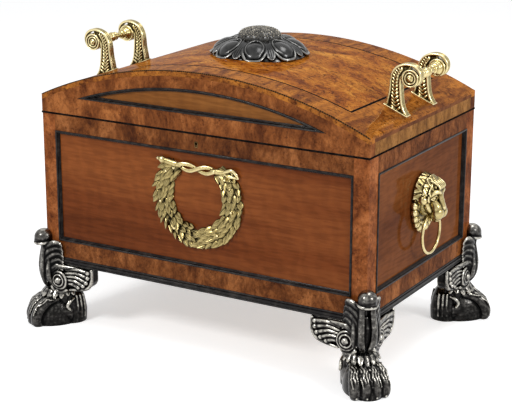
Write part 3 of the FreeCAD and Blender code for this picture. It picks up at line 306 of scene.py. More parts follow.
base_low, base_high, base_depth, base_proud = 144.0, 160.0, 28.0, 4.0
base_section = ([(base_depth, base_low), (2.0, base_low)]
                + reed((2.2, base_low + 0.2), (2.2, base_low + 4.8), 1.9)
                + reed((1.6, base_low + 5.0), (1.6, base_low + 11.4), 1.6)
                + reed((3.2, base_low + 11.8), (3.6, base_high - 0.4), 1.2)
                + [(base_proud, base_high), (base_depth, base_high)])
loops = []
for inward, z in base_section:
    x, y = half_x + base_proud - inward, half_y + base_proud - inward
    loops.append([Vector(corner) * MM for corner in ((-x, -y, z), (x, -y, z), (x, y, z), (-x, y, z))])
finish_piece("base_reeding", lofted("base", loops), ebonised, "case", ["base_moulding"])


# ---- the lid -----------------------------------------------------------------------------------------
# A coopered arch faced with golden burr, quartered inside a black line and cross-banded outside it.
# The ends are framed up like the case; the front has a sunk lens-shaped panel.

lid_joint, lid_edge, lid_rise = 490.0, 38.0, 88.5
lid_radius = (half_x ** 2 + lid_rise ** 2) / (2 * lid_rise)
lid_axis = lid_joint + lid_edge + lid_rise - lid_radius
# the black line runs this far from the middle; stain spreads beside it, and the frames begin past it
line_x, line_y, stain_reach, frame_reach = 324.0, 193.0, 2.6, 45.0


def lid_veneer():
    finish, tree, shader = new_finish("lid_burr", 0.22, coat=0.14, shine=0.0)
    where = stretched(tree)
    swirl = noise(tree, stretched(tree, (0.75, 1.0, 1.0)), 17.0, 8.0, 0.74, 0.6)
    body = ramp(tree, swirl, [(0.36, (0.13, 0.030, 0.005)), (0.46, (0.31, 0.088, 0.010)),
                              (0.54, (0.44, 0.150, 0.017)), (0.66, (0.62, 0.255, 0.036))])
    eyes = noise(tree, stretched(tree, (0.6, 1.0, 1.0)), 90.0, 7.0, 0.76, 2.0)
    speck = ramp(tree, eyes, [(0.50, (1, 1, 1)), (0.60, (0.13, 0.06, 0.03))])
    body = mixed(tree, 0.9, body, speck, "MULTIPLY")
    streaks = noise(tree, stretched(tree, (1.0, 0.25, 1.0)), 40.0, 4.0, 0.6, 0.6)
    cross = ramp(tree, streaks, [(0.38, (0.17, 0.048, 0.009)), (0.62, (0.44, 0.155, 0.022))])
    cross = mixed(tree, 0.8, cross, speck, "MULTIPLY")
    # outside the black line the grain lies across the edge
    split = add_node(tree, "ShaderNodeSeparateXYZ", {"Vector": where})
    past = []
    for axis, limit in (("X", line_x), ("Y", line_y)):
        size = maths(tree, "ABSOLUTE", split.outputs[axis])
        past.append(maths(tree, "SUBTRACT", size, limit * MM))
    outside = maths(tree, "MAXIMUM", *past)
    wood = mixed(tree, maths(tree, "GREATER_THAN", outside, 0.0), body, cross)
    # the glue and stain beside the line darken it
    at_line = maths(tree, "LESS_THAN", maths(tree, "ABSOLUTE", outside), stain_reach * MM)
    wood = mixed(tree, at_line, wood, (0.012, 0.008, 0.006))
    # inside, the arch is plain mahogany
    level = noise(tree, stretched(tree, (0.1, 1.0, 1.0)), 26.0, 5.0, 0.6)
    plain = ramp(tree, level, [(0.36, (0.075, 0.020, 0.005)), (0.64, (0.21, 0.070, 0.020))])
    from_axis = add_node(tree, "ShaderNodeMapping", {"Vector": where, "Location": (0, 0, -lid_axis * MM),
                                                     "Scale": (1, 0, 1)})
    far = add_node(tree, "ShaderNodeVectorMath", {0: from_axis.outputs[0]}, operation="LENGTH")
    under = maths(tree, "LESS_THAN", far.outputs["Value"], (lid_radius - 4) * MM)
    between_frames = maths(tree, "LESS_THAN", past[1], frame_reach * MM)
    under = maths(tree, "MULTIPLY", under, between_frames)
    coloured(tree, shader, mixed(tree, under, wood, plain))
    bumped(tree, shader, swirl, 0.05, 0.0006)
    return finish


dress(lid_veneer(), "lid_top")
band_veneer = veneer("lid_band_veneer", (0.37, 0.130, 0.036), (0.215, 0.066, 0.016), (0.085, 0.022, 0.005),
                     (1, 1, 0.55), 0.34)
end_veneer = veneer("lid_end_veneer", (0.40, 0.19, 0.055), (0.28, 0.124, 0.030), (0.14, 0.055, 0.012),
                    (1, 1, 0.4), 0.32)
dress(band_veneer, "lid_front_frame", "lid_back_frame")
stringing_black, tree, shader = new_finish("ebony_line", 0.7, shine=0.0)
shades = [(0.4, (0.004, 0.004, 0.004)), (0.7, (0.016, 0.013, 0.011))]
coloured(tree, shader, ramp(tree, noise(tree, stretched(tree), 90.0), shades))
dress(stringing_black, "lid_stringing", "case_bead")
dress(end_veneer, "lid_left_rail", "lid_right_rail")
tympanum_wood = mahogany("tympanum_wood", (0.42, 0.170, 0.045), (0.30, 0.115, 0.026), (0.19, 0.065, 0.013),
                         (0.12, 1, 1), (0, 0.2, 0))
dress(tympanum_wood, "lid_front_panel")

sill, band = lid_joint + 37.0, 37.0


def lens_loop(inward, height, steps=48):
    """A closed loop round the sunk panel: along the sill, then back over the arch."""
    radius, low = lid_radius - band - inward, sill + inward
    reach = math.sqrt(radius ** 2 - (low - lid_axis) ** 2)
    y = -half_y + recess - height
    loop = [Vector((-reach + 2 * reach * n / steps, y, low)) * MM for n in range(steps)]
    top = math.asin(reach / radius)
    for n in range(steps):
        turn = top - 2 * top * n / steps
        loop.append(Vector((radius * math.sin(turn), y, lid_axis + radius * math.cos(turn))) * MM)
    return loop


finish_piece("lid_panel_reeding", lofted("lens", [lens_loop(*point) for point in panel_section]), ebonised,
             "lid", ["lid_front_moulding"])


# ---- chequered line on the lid -----------------------------------------------------------------------
# Small blocks of holly and ebony laid in turn along the front edge of the arch.

chequered, tree, shader = new_finish("holly_and_ebony", 0.5, shine=0.0)
turns = add_node(tree, "ShaderNodeTexWave", {"Vector": stretched(tree), "Scale": 62.0},
                 bands_direction="X", wave_profile="SAW").outputs["Fac"]
coloured(tree, shader, ramp(tree, turns, [(0.49, (0.008, 0.006, 0.005)), (0.51, (0.11, 0.055, 0.022))]))


def new_tree(name, sizes):
    """A geometry tree with a geometry input, named size inputs and a geometry output."""
    tree = bpy.data.node_groups.new(name, "GeometryNodeTree")
    tree.interface.new_socket("Geometry", in_out="INPUT", socket_type="NodeSocketGeometry")
    for label, (kind, value) in sizes.items():
        socket = tree.interface.new_socket(label, in_out="INPUT", socket_type=kind)
        if value is not None:
            socket.default_value = value
    tree.interface.new_socket("Geometry", in_out="OUTPUT", socket_type="NodeSocketGeometry")
    return tree, add_node(tree, "NodeGroupInput"), add_node(tree, "NodeGroupOutput")


def close_tree(tree, out, geometry, finish):
    """End the tree: real faces with their finish."""
    real = add_node(tree, "GeometryNodeRealizeInstances", {"Geometry": geometry})
    done = add_node(tree, "GeometryNodeSetMaterial", {"Geometry": real.outputs[0], "Material": finish})
    tree.links.new(done.outputs[0], out.inputs[0])


def grown(name, mesh, tree, values):
    """Run a geometry tree on a mesh and give back plain mesh."""
    carrier = placed(name, mesh)
    grower = carrier.modifiers.new(name, "NODES")
    grower.node_group = tree
    for item in tree.interface.items_tree:
        if item.in_out == "INPUT" and item.name in values:
            grower[item.identifier] = values[item.name]
    bpy.context.view_layer.update()
    made = bpy.data.meshes.new_from_object(carrier.evaluated_get(bpy.context.evaluated_depsgraph_get()))
    bpy.data.objects.remove(carrier)
    return made


def set_along(name, block_tree_sizes, finish):
    """A tree that lays a box at each point, turned to the direction stored on it."""
    tree, given, out = new_tree(name, block_tree_sizes)
    box = add_node(tree, "GeometryNodeMeshCube", {"Size": given.outputs["Block size"]})
    turn = add_node(tree, "GeometryNodeInputNamedAttribute", {"Name": "turn"}, data_type="FLOAT_VECTOR")
    laid = add_node(tree, "GeometryNodeInstanceOnPoints", {
        "Points": given.outputs["Geometry"], "Instance": box.outputs["Mesh"],
        "Rotation": turn.outputs["Attribute"]})
    close_tree(tree, out, laid.outputs[0], finish)
    return tree


def dots(name, places, turns):
    """Loose points, each with the turn of what will stand on it."""
    mesh = bpy.data.meshes.new(name)
    mesh.from_pydata(places, [], [])
    held = mesh.attributes.new("turn", "FLOAT_VECTOR", "POINT")
    held.data.foreach_set("vector", [part for turn in turns for part in turn])
    return mesh


span = math.asin(half_x / lid_radius)
blocks = 176
angles = [span * (2 * (n + 0.5) / blocks - 1) for n in range(blocks)]
sunk, inset = 0.9, 1.1
line = dots("edge_line", [Vector((lid_radius * math.sin(a), inset - half_y,
                                  lid_axis + lid_radius * math.cos(a) - sunk)) * MM for a in angles],
            [(0, a, 0) for a in angles])
length = 2 * span * lid_radius / blocks
tree = set_along("edge_blocks", {"Block size": ("NodeSocketVector", (0.004, 0.002, 0.002))}, chequered)
mesh = grown("edge_line", line, tree, {"Block size": (length * MM, 0.0024, 0.0022)})
finish_piece("lid_chequered_line", mesh, chequered, "lid")


# ---- lock, keyhole and link plate ----------------------------------------------------------------------
# Brass lock let into the front rail, its bolt, the plate under the lid and the lining of the keyhole.

def brass(name, bright, dull, roughness):
    finish, tree, shader = new_finish(name, roughness, metallic=1.0)
    patches = noise(tree, stretched(tree), 40.0, 5.0, 0.65)
    coloured(tree, shader, ramp(tree, patches, [(0.35, dull), (0.65, bright)]))
    bumped(tree, shader, patches, 0.08, 0.0003)
    return finish


lock_brass = brass("lock_brass", (0.66, 0.48, 0.21), (0.42, 0.28, 0.11), 0.34)
dress(lock_brass, "lock_case", "lock_bolt", "link_plate")
dress(brass("dark_brass", (0.15, 0.09, 0.035), (0.06, 0.035, 0.012), 0.45), "keyhole_escutcheon")


# ---- butt hinges ----------------------------------------------------------------------------------------
# Brass butts let into lid and case at the back, each leaf held by three countersunk screws.

hinge_brass = brass("hinge_brass", (0.62, 0.45, 0.20), (0.36, 0.25, 0.10), 0.36)
dress(hinge_brass, "case_hinge_leaves", "lid_hinge_leaves", "hinge_pins")


def mesh_of(name, shape):
    mesh = bpy.data.meshes.new(name)
    shape.to_mesh(mesh)
    shape.free()
    return mesh


def screw_head(radius, depth):
    """A flat head with its slot, facing up."""
    shape = bmesh.new()
    bmesh.ops.create_cone(shape, cap_ends=True, segments=14, radius1=radius * 0.6, radius2=radius,
                          depth=depth, matrix=Matrix.Translation((0, 0, -depth / 2)))
    for side in (-1, 1):
        bmesh.ops.bisect_plane(shape, geom=shape.verts[:] + shape.edges[:] + shape.faces[:],
                               plane_co=(0, side * radius * 0.14, 0), plane_no=(0, 1, 0))
    slot = [face for face in shape.faces if abs(face.calc_center_median().y) < radius * 0.1
            and face.normal.z > 0.9]
    walls = bmesh.ops.extrude_face_region(shape, geom=slot)
    bmesh.ops.delete(shape, geom=slot, context="FACES_ONLY")
    for corner in [part for part in walls["geom"] if isinstance(part, bmesh.types.BMVert)]:
        corner.co.z -= depth * 0.35
    return mesh_of("screw_head", shape)


def stand_on(name, pattern, finish):
    """A tree that stands copies of one shape on points, turned and sized."""
    tree, given, out = new_tree(name, {"Shape": ("NodeSocketObject", None), "Size": ("NodeSocketFloat", 1.0)})
    shape = add_node(tree, "GeometryNodeObjectInfo", {"Object": given.outputs["Shape"]})
    turn = add_node(tree, "GeometryNodeInputNamedAttribute", {"Name": "turn"}, data_type="FLOAT_VECTOR")
    size = add_node(tree, "ShaderNodeCombineXYZ", {axis: given.outputs["Size"] for axis in "XYZ"})
    laid = add_node(tree, "GeometryNodeInstanceOnPoints", {
        "Points": given.outputs["Geometry"], "Instance": shape.outputs["Geometry"],
        "Rotation": turn.outputs["Attribute"], "Scale": size.outputs[0]})
    close_tree(tree, out, laid.outputs[0], finish)
    return tree, placed(name + "_shape", pattern)


def repeated(name, pattern, places, turns, finish, size=1.0):
    """Copies of a shape standing on points, as plain mesh."""
    tree, holder = stand_on(name, pattern, finish)
    made = grown(name, dots(name, places, turns), tree, {"Shape": holder, "Size": size})
    bpy.data.objects.remove(holder)
    return made


hinge_spacing, hinge_length, hinge_line = 460.0, 60.0, 265.9
# the middle screw stands this far from the pin's line, and the outer two a little further
screw_row, stagger, screw_pitch = 16.0, 5.0, hinge_length * 0.33
screw_places = [Vector((side * hinge_spacing / 2 + step * screw_pitch,
                        hinge_line - screw_row - stagger * abs(step), 0))
                for side in (-1, 1) for step in (-1, 0, 1)]
for body, label, level, turn in (("case", "case_hinge_screws", lid_joint - 0.1, 0.0),
                                 ("lid", "lid_hinge_screws", lid_joint + 0.1, math.pi)):
    head = screw_head(3.4 * MM, 1.2 * MM)
    spots = [(place + Vector((0, 0, level))) * MM for place in screw_places]
    turns = [(turn, 0, 0.5 + 1.1 * number) for number in range(len(spots))]
    mesh = repeated(label, head, spots, turns, hinge_brass)
    finish_piece(label, mesh, hinge_brass, body)


# ---- carving -------------------------------------------------------------------------------------------
# The feet are limewood, carved with gouges, then stained near black and bronzed; the high edges
# are rubbed brighter than the hollows, and the finish also paints shade into the hollows and highlight
# on the edges and tops. The wings behind them are carved and fixed apart.

hollow_gain = 0.9


class Carving:
    """Closed forms heaped together, then skinned over as one carved or cast piece, in millimetres."""

    def __init__(self, place):
        """Place turns the numbers that the forms are given in into a point of the scene."""
        self.points, self.faces = [], []
        self.place = place

    def add(self, points, faces):
        first = len(self.points)
        self.points += [tuple(point) for point in points]
        self.faces += [tuple(first + corner for corner in face) for face in faces]

    def ball(self, centre, radii, turn=(0, 0, 0), around=20, up=12):
        """An egg form, turned about its own axes."""
        spin = Matrix.Rotation(turn[2], 3, "Z") @ Matrix.Rotation(turn[1], 3, "Y") @ Matrix.Rotation(
            turn[0], 3, "X")
        points = []
        for row in range(1, up):
            lift = math.pi * (row / up - 0.5)
            points += [Vector((radii[0] * math.cos(lift) * x, radii[1] * math.cos(lift) * y,
                               radii[2] * math.sin(lift))) for x, y in circle(around)]
        faces = bands(up - 1, around)
        last = len(points) - around
        low, high = len(points), len(points) + 1
        points += [Vector((0, 0, -radii[2])), Vector((0, 0, radii[2]))]
        for n in range(around):
            after = (n + 1) % around
            faces.append((low, after, n))
            faces.append((high, last + n, last + after))
        self.add([self.place(*(spin @ point + Vector(centre))) for point in points], faces)

    def strand(self, path, widths, flat=1.0, facing=(0, 0, 1), around=10, steps=5, closed=False):
        """A rounded strand through the path, flattened towards facing; one width, or one for each point."""
        path = [Vector(point) for point in path]
        count = len(path)
        if not hasattr(widths, "__len__"):
            widths = [widths] * count
        spots = []
        for n in range(count if closed else count - 1):
            before = path[(n - 1) % count] if closed or n else path[0]
            here, there = path[n], path[(n + 1) % count]
            beyond = path[(n + 2) % count] if closed or n + 2 < count else path[-1]
            for step in range(steps):
                t = step / steps
                spot = 0.5 * (2 * here + (there - before) * t
                              + (2 * before - 5 * here + 4 * there - beyond) * t ** 2
                              + (3 * here - before - 3 * there + beyond) * t ** 3)
                spots.append((spot, widths[n] * (1 - t) + widths[(n + 1) % count] * t))
        if not closed:
            spots.append((path[-1], widths[-1]))
        rings = []
        total = len(spots)
        for n, (spot, width) in enumerate(spots):
            ahead = spots[(n + 1) % total][0] if closed or n + 1 < total else spot
            behind = spots[n - 1][0] if closed or n else spot
            along = (ahead - behind).normalized()
            across = along.cross(Vector(facing))
            if across.length < 0.05:
                across = along.orthogonal()
            across.normalize()
            up = across.cross(along)
            ends = [(0, 1.0)]
            if not closed and n == 0:
                ends = [(-0.9, 0.35), (-0.6, 0.75), (0, 1.0)]
            if not closed and n == total - 1:
                ends = [(0, 1.0), (0.6, 0.75), (0.9, 0.35)]
            for shift, share in ends:
                rings.append([spot + along * (shift * width) + across * (width * share * x)
                              + up * (width * share * flat * y) for x, y in circle(around)])
        points = [self.place(*point) for ring in rings for point in ring]
        faces = bands(len(rings), around, closed)
        if not closed:
            faces += caps(len(rings), around)
        self.add(points, faces)

    def turned(self, profile, centre=(0, 0, 0), around=40):
        """A form turned about the third axis from (radius, height) points."""
        thinnest = 0.05
        points = [self.place(centre[0] + max(out, thinnest) * x, centre[1] + max(out, thinnest) * y,
                             centre[2] + height) for out, height in profile for x, y in circle(around)]
        self.add(points, caps(len(profile), around) + bands(len(profile), around))

    def slab(self, outline, low, high):
        """A board with its outline in the first two coordinates, from low to high in the third."""
        points = [self.place(x, y, level) for level in (low, high) for x, y in outline]
        self.add(points, caps(2, len(outline)) + bands(2, len(outline)))

    def skin(self, name, voxel, soften, trim=None, painted_top_light=0.0):
        """One closed skin over all the forms, softened, with its hollows and edges stored for the finish's
        painted shade and highlight.

        Faces that look up count as standing out further, so the finish paints them lighter as if lit from
        above: painted light.
        """
        mesh = bpy.data.meshes.new(name)
        mesh.from_pydata(self.points, [], self.faces)
        shape = bmesh.new()
        shape.from_mesh(mesh)
        bmesh.ops.recalc_face_normals(shape, faces=shape.faces)
        shape.to_mesh(mesh)
        shape.free()
        holder = placed(name, mesh)
        skinner = holder.modifiers.new("skin", "REMESH")
        skinner.mode = "VOXEL"
        skinner.voxel_size = voxel
        bpy.context.view_layer.update()
        made = bpy.data.meshes.new_from_object(holder.evaluated_get(bpy.context.evaluated_depsgraph_get()))
        bpy.data.objects.remove(holder)
        count = len(made.vertices)
        spots = np.empty(count * 3)
        made.vertices.foreach_get("co", spots)
        spots = spots.reshape(-1, 3)
        edges = np.empty(len(made.edges) * 2, dtype=np.int64)
        made.edges.foreach_get("vertices", edges)
        first, second = edges.reshape(-1, 2).T
        degree = np.bincount(first, minlength=count) + np.bincount(second, minlength=count)
        degree = np.maximum(degree, 1)[:, None]

        def near_mean(values):
            total = np.zeros_like(values)
            np.add.at(total, first, values[second])
            np.add.at(total, second, values[first])
            return total / degree

        for _ in range(soften):
            spots = spots + 0.5 * (near_mean(spots) - spots)
        if trim is not None:
            spots = trim(spots)
        made.vertices.foreach_set("co", (spots * MM).ravel())
        made.update()
        normals = np.empty(count * 3)
        made.vertices.foreach_get("normal", normals)
        normals = normals.reshape(-1, 3)
        level = spots
        for _ in range(10):
            level = near_mean(level)
        bend = ((level - spots) * normals).sum(1)[:, None] / voxel
        bend = 0.5 * bend + 0.5 * near_mean(bend)
        # painted light: the stored value sets painted shade in the hollows and painted highlight on sharp
        # edges and on faces that look up
        held = made.attributes.new("shade_and_rub", "FLOAT", "POINT")
        depth = 0.5 + hollow_gain * bend[:, 0] - painted_top_light * normals[:, 2]
        held.data.foreach_set("value", np.clip(depth, 0, 1))
        return made


def carved_finish(name, deep, middle, rubbed_and_highlight, roughness, stops, grain=160.0, bump=0.3, patchy=0.36):
    """A finish that is dark in the hollows as painted shade, and brighter the sharper an edge stands out,
    partly rubbed wear and partly painted highlight.
    """
    finish, tree, shader = new_finish(name, roughness, metallic=1.0)
    shade_and_rub = add_node(tree, "ShaderNodeAttribute", attribute_name="shade_and_rub").outputs["Fac"]
    cloud = noise(tree, stretched(tree), grain, 5.0, 0.65)
    depth = maths(tree, "ADD", shade_and_rub, maths(tree, "MULTIPLY_ADD", cloud, patchy, -patchy / 2))
    between = tuple(math.sqrt(bright * dull) for bright, dull in zip(rubbed_and_highlight, middle))
    shades = [(stops[0], rubbed_and_highlight), ((stops[0] + stops[1]) / 2, between), (stops[1], middle), (stops[2], deep)]
    # painted shade in the hollows and painted highlight on edges and tops, with rubbed wear on the high edges
    # as well
    coloured(tree, shader, ramp(tree, depth, shades))
    bumped(tree, shader, cloud, bump, 0.0006)
    return finish


# bronzed carving: near black, with painted highlight on edges and tops and painted shade in the hollows
bronzed_wood = carved_finish("bronzed_carving", (0.004, 0.004, 0.004), (0.020, 0.019, 0.018),
                             (0.46, 0.44, 0.39), 0.2, grain=150.0, stops=(0.0, 0.38, 0.60), patchy=0.7)
root_two = math.sqrt(2)


def on_diagonal(out, across, z):
    """Out along the corner's diagonal, across it, and up; for the front right corner."""
    return Vector(((out + across) / root_two, (across - out) / root_two, z))


def on_front(along, z, proud):
    """Along the front from the corner, up, and proud of the face; for the front right corner."""
    return Vector((-along, -proud, z))


def on_side(along, z, proud):
    return Vector((proud, along, z))


toe_reach = 59.5
outward, sideways = (1, 0, 0), (0, 1, 0)


def corner_foot():
    foot = Carving(on_diagonal)
    # the paw: one broad domed mass, squared behind to a ribbed heel
    foot.ball((-9, 0, 9), (60, 41, 57), around=40, up=26)
    foot.strand([(-50, 0, 0), (-51, 0, 26), (-50, 0, 58)], [34, 34.5, 29], facing=outward, around=28)
    foot.strand([(-46, 0, 22), (-18, 0, 22)], [36, 38], 0.95, around=24)
    for sign in (-1, 1):
        for out, across in ((-60, 31), (-68, 28), (-75.5, 22)):
            foot.strand([(out + 2, sign * (across - 4.5), 64), (out, sign * (across - 1.5), 40),
                         (out, sign * (across - 0.5), 12)], [2.2, 3.2, 2.6], facing=outward, around=12)
    # four broad toes, softly parted, each with a blunt claw
    top_out, top_z = [-10, 16, 27, 37.5, 45, 50.3], [65.5, 63, 57.5, 50.1, 40, 29.6]
    toe_radius, lane_pitch = 13, 3.1
    for number in (-1.5, -0.5, 0.5, 1.5):
        spread = 19.8 * number
        back = 5.0 * (abs(number) - 0.5)
        toe = [(-10, 0.66, 57), (10, 0.82, 54), (28, 0.96, 41), (37.5, 1.02, 25), (38.5, 1.03, 12),
               (34, 1.03, 4)]
        claw = [(45, 1.03, 13), (49.5, 1.05, 6)]
        for spine, widths, around in ((toe, [8, 11, 13.2, 13.7, 13.0, 10], 20), (claw, [4.6, 2.6], 12)):
            foot.strand([(out - back, spread * part, z) for out, part, z in spine], widths, facing=sideways,
                        around=around)
        # the fur lies over them in fine wavy locks
        for lane in range(-3, 4):
            aside = lane_pitch * lane
            drop = toe_radius - math.sqrt(toe_radius ** 2 - aside ** 2)
            for lock in range(4):
                first = -6 + 11.5 * lock + 5 * (lane % 2)
                bend = 1.7 if (lane + lock) % 2 else -1.7
                path = []
                for ahead, sway, lift in ((0, 0.0, -0.4), (5, 0.9, 0.3), (10, 0.2, 0.1), (15, -0.9, -1.4)):
                    out = first + ahead
                    path.append((out - back, spread * (0.78 + 0.0052 * out) + aside + bend * sway,
                                 float(np.interp(out, top_out, top_z)) - drop + lift))
                foot.strand(path, [0.8, 1.5, 1.5, 0.7], around=6, steps=3)
    # the dew claws, curled back on both flanks
    dew_claw = [(-52, 31, 60), (-42, 37, 55), (-36, 39.5, 45), (-41, 40.5, 36)]
    for side in (-1, 1):
        foot.strand([(out, side * across, z) for out, across, z in dew_claw], [2.4, 4.0, 4.6, 2.6],
                    facing=sideways, around=12)
    # the wavy collar of tufts where the ankle leaves the paw
    for number in range(13):
        angle = math.radians(-132 + 22 * number)
        x, y = math.cos(angle), math.sin(angle)
        foot.strand([(-28 + 19 * x, 21 * y, 86), (-26 + 31 * x, 30 * y, 77),
                     (-24 + 41 * x, 37 * y, 67 - 3 * x + 3 * (number % 2))],
                    [5.6, 8.8, 4.4], 0.6, (x, y, 0.3), around=12)
    # the shank behind, narrow at the ankle
    foot.strand([(-36, 0, 50), (-34, 0, 72), (-30, 0, 86), (-25, 0, 106), (-22, 0, 126), (-21, 0, 143)],
                [28, 24, 26, 31, 33, 34], facing=outward, around=28)
    # up the corner: two smooth ridges with a deep groove between them, meeting in a point at the knee
    foot.strand([(-12, 0, 84), (-8, 0, 100), (-7, 0, 130), (-6, 0, 188)], [6, 9, 10, 9], facing=outward,
                around=16)
    for sign in (-1, 1):
        foot.strand([(-4, sign * 3, 82), (6, sign * 8, 95), (11, sign * 12.5, 112), (12.5, sign * 13.5, 134),
                     (10, sign * 12.5, 156), (7, sign * 11.5, 176), (9, sign * 11, 192)],
                    [4.5, 6.6, 7.4, 7.4, 7.0, 6.6, 7.0], facing=sideways, around=18)
        foot.strand([(-14, sign * 13, 86), (-5, sign * 20, 99), (1, sign * 24, 114), (1.5, sign * 24.5, 134),
                     (-2, sign * 22, 156), (-5, sign * 20.5, 176), (-2, sign * 20.5, 190)],
                    [4.0, 6.0, 6.6, 6.6, 6.0, 5.6, 5.2], facing=sideways, around=14)
    # the cap: a hooded bud whose lip hangs over the ridges
    foot.ball((7.5, 0, 202), (21.5, 20, 18.5), (0, 0.25, 0), 36, 22)
    foot.ball((15, 0, 196), (14.5, 16, 11), (0, 0.2, 0), 28, 16)
    for sign in (1, -1):
        foot.strand([(27.5, 0, 189.5), (24, sign * 10, 189), (13, sign * 18, 190), (-3, sign * 20, 193)],
                    [3.6, 3.6, 3.8, 3.2])
    # acanthus on both faces: long folds rise from the knee, away from the corner, their tips turned over
    folds = (
        ([(8, 178, 14), (16, 187, 14), (28, 193, 12), (38, 192, 8), (43, 185, 5)], [5, 6.6, 6.8, 5.6, 3.6]),
        ([(7, 160, 16), (14, 171, 15), (26, 180, 12), (38, 181, 8), (45, 174, 5)], [5, 6.6, 6.8, 5.6, 3.6]),
        ([(7, 142, 18), (13, 155, 16), (25, 166, 13), (38, 168, 8), (46, 161, 5)], [5, 6.6, 6.8, 5.8, 3.8]),
        ([(7, 124, 18), (12, 138, 17), (24, 151, 14), (37, 155, 9), (46, 149, 6)], [5, 6.4, 6.6, 5.8, 3.8]),
        ([(8, 106, 17), (12, 121, 18), (23, 135, 15), (36, 141, 11), (46, 137, 8)], [4, 6.0, 6.4, 5.8, 4.0]),
    )
    for place in (on_front, on_side):
        foot.place = place
        for path, widths in folds:
            foot.strand(path, widths, 0.8, around=14)
            # a fine rib beside each fold
            foot.strand([(x + 2.5, z - 5.6, out + 1.0) for x, z, out in path],
                        [0.26 * width + 0.5 for width in widths], around=8)

    def stand_flat(spots):
        """The sole is flat, and no toe reaches further out than the rest."""
        spots[:, 0] = np.minimum(spots[:, 0], toe_reach)
        spots[:, 1] = np.maximum(spots[:, 1], -toe_reach)
        spots[:, 2] = np.maximum(spots[:, 2], 0.0)
        return spots
    # the paw's upward faces are painted lighter as if lit from above
    return foot.skin("corner_foot", 1.25, 1, stand_flat, painted_top_light=0.22)


def face_wing(place):
    wing = Carving(place)
    top = 143.6
    outline = [(19, top), (124, top), (124, 112), (119, 102.5), (108, 94), (90, 89), (66, 84), (50, 80),
               (19, 78)]
    wing.slab(outline, -21, -1)
    # rolled rim along the lower edge
    rim = [(121.5, 140), (122, 126), (120.5, 111), (113, 99), (99, 92.5), (80, 88.5)]
    wing.strand([(x, z, 1.5) for x, z in rim] + [(62, 85.5, 2)], [3.6, 3.8, 4.0, 4.2, 4.2, 4.0, 3.5],
                around=12)
    # the ribs of the shell fan out from the scroll, hollow between, and end in round beads
    ribs = ((113, 134, 84, 138), (112.5, 122, 84, 129), (108, 110.5, 82, 119.5), (99, 101.5, 78, 110),
            (86, 96, 70, 102))
    for number, (end_x, end_z, mid_x, mid_z) in enumerate(ribs):
        start_x, start_z = 55 + 0.5 * number, 133 - 8 * number
        wing.strand([(start_x, start_z, 8), (mid_x, mid_z, 6.4), (end_x, end_z, 3.2)], [2.4, 4.2, 5.2],
                    around=12)
        wing.ball((end_x, end_z, 4.6), (6.0, 5.4, 4.8), around=16, up=10)
        wing.strand([(start_x + 2, start_z - 4.5, 3), (mid_x + 2, mid_z - 5.0, 2.2),
                     (end_x - 6, end_z - 5.0, 1.6)], [1.0, 1.5, 1.2], around=8)
    # the leaf that ties the scroll to the base
    wing.strand([(20, 131, 10), (36, 138, 11), (58, 139.5, 9), (84, 140, 5)], [8, 6.5, 5, 3], 0.8, around=14)
    # scroll: rings stepped up to a domed button
    scroll_x, scroll_z = 38, 107
    wing.turned([(0, -20), (21, -20), (22.5, 6), (21.5, 10.5), (16.5, 11), (15.5, 13.5), (0, 14)],
                (scroll_x, scroll_z, 0), 56)
    for out, level, width in ((19.2, 11, 3.4), (13.2, 14, 2.2)):
        wing.strand([(scroll_x + out * x, scroll_z + out * z, level) for x, z in circle(20)], width,
                    closed=True, around=12, steps=3)
    wing.ball((scroll_x, scroll_z, 14.5), (8.6, 8.6, 7.2), around=28, up=16)
    # a small curled lobe below, where the wing meets the ankle
    wing.strand([(52, 84, 4), (40, 79, 6), (26, 80, 8), (18, 88, 9)], [4, 5.5, 6, 5], around=12)
    # the wing's upward faces are painted lighter as if lit from above
    return wing.skin("face_wing", 1.2, 1, painted_top_light=0.22)


def turned_copy(mesh, name, turn, shift):
    made = mesh.copy()
    made.name = name
    made.transform(Matrix.Translation(shift) @ Matrix.Rotation(turn, 4, "Z"))
    return made


def one_mesh(name, meshes):
    """Several meshes as one, their attributes kept."""
    parts = [placed(name, mesh) for mesh in meshes]
    with bpy.context.temp_override(active_object=parts[0], object=parts[0], selected_objects=parts,
                                   selected_editable_objects=parts):
        bpy.ops.object.join()
    made = parts[0].data
    bpy.data.objects.remove(parts[0])
    return made


foot_mesh = corner_foot()
wing_meshes = [face_wing(on_front), face_wing(on_side)]
corners = {"front_right": (1, -1, 0), "back_right": (1, 1, 90), "back_left": (-1, 1, 180),
           "front_left": (-1, -1, 270)}
for corner, (x_sign, y_sign, degrees) in corners.items():
    shift = Vector((half_x * x_sign, half_y * y_sign, 0)) * MM
    turn = math.radians(degrees)
    mesh = turned_copy(foot_mesh, f"{corner}_paw", turn, shift)
    finish_piece(f"{corner}_paw", mesh, bronzed_wood, "case", [f"{corner}_foot"], 180)
    mesh = one_mesh(f"{corner}_shells", [turned_copy(part, "wing", turn, shift) for part in wing_meshes])
    finish_piece(f"{corner}_shells", mesh, bronzed_wood, "case", [f"{corner}_foot_wings"], 180)


# ---- rosette -------------------------------------------------------------------------------------------
# Carved from one block of limewood and polished black: eight swelling petals, each inside a rolled rim,
# with small ribbed leaves in the gaps. Its underside is hollowed to the arch of the lid.

crown = lid_joint + lid_edge + lid_rise


def above_lid(x, y, z):
    return Vector((x, y, z + crown))


def rest_on_lid(spots):
    """Nothing reaches below the arched top of the lid."""
    arch = lid_axis + np.sqrt(lid_radius ** 2 - spots[:, 0] ** 2)
    spots[:, 2] = np.maximum(spots[:, 2], arch)
    return spots


bowl = [(0, -9), (99, -9), (103, -4), (101, 2), (94, 9), (83, 16), (70, 22), (58, 26), (46, 29), (0, 29)]


def on_bowl(out, across, lift):
    """A point over the bowl's surface, out along a petal and across it."""
    far = math.hypot(out, across)
    level = float(np.interp(far, [46, 58, 70, 83, 94, 101, 105], [29, 26, 22, 16, 9, 2, -3]))
    return (out, across, level + lift)


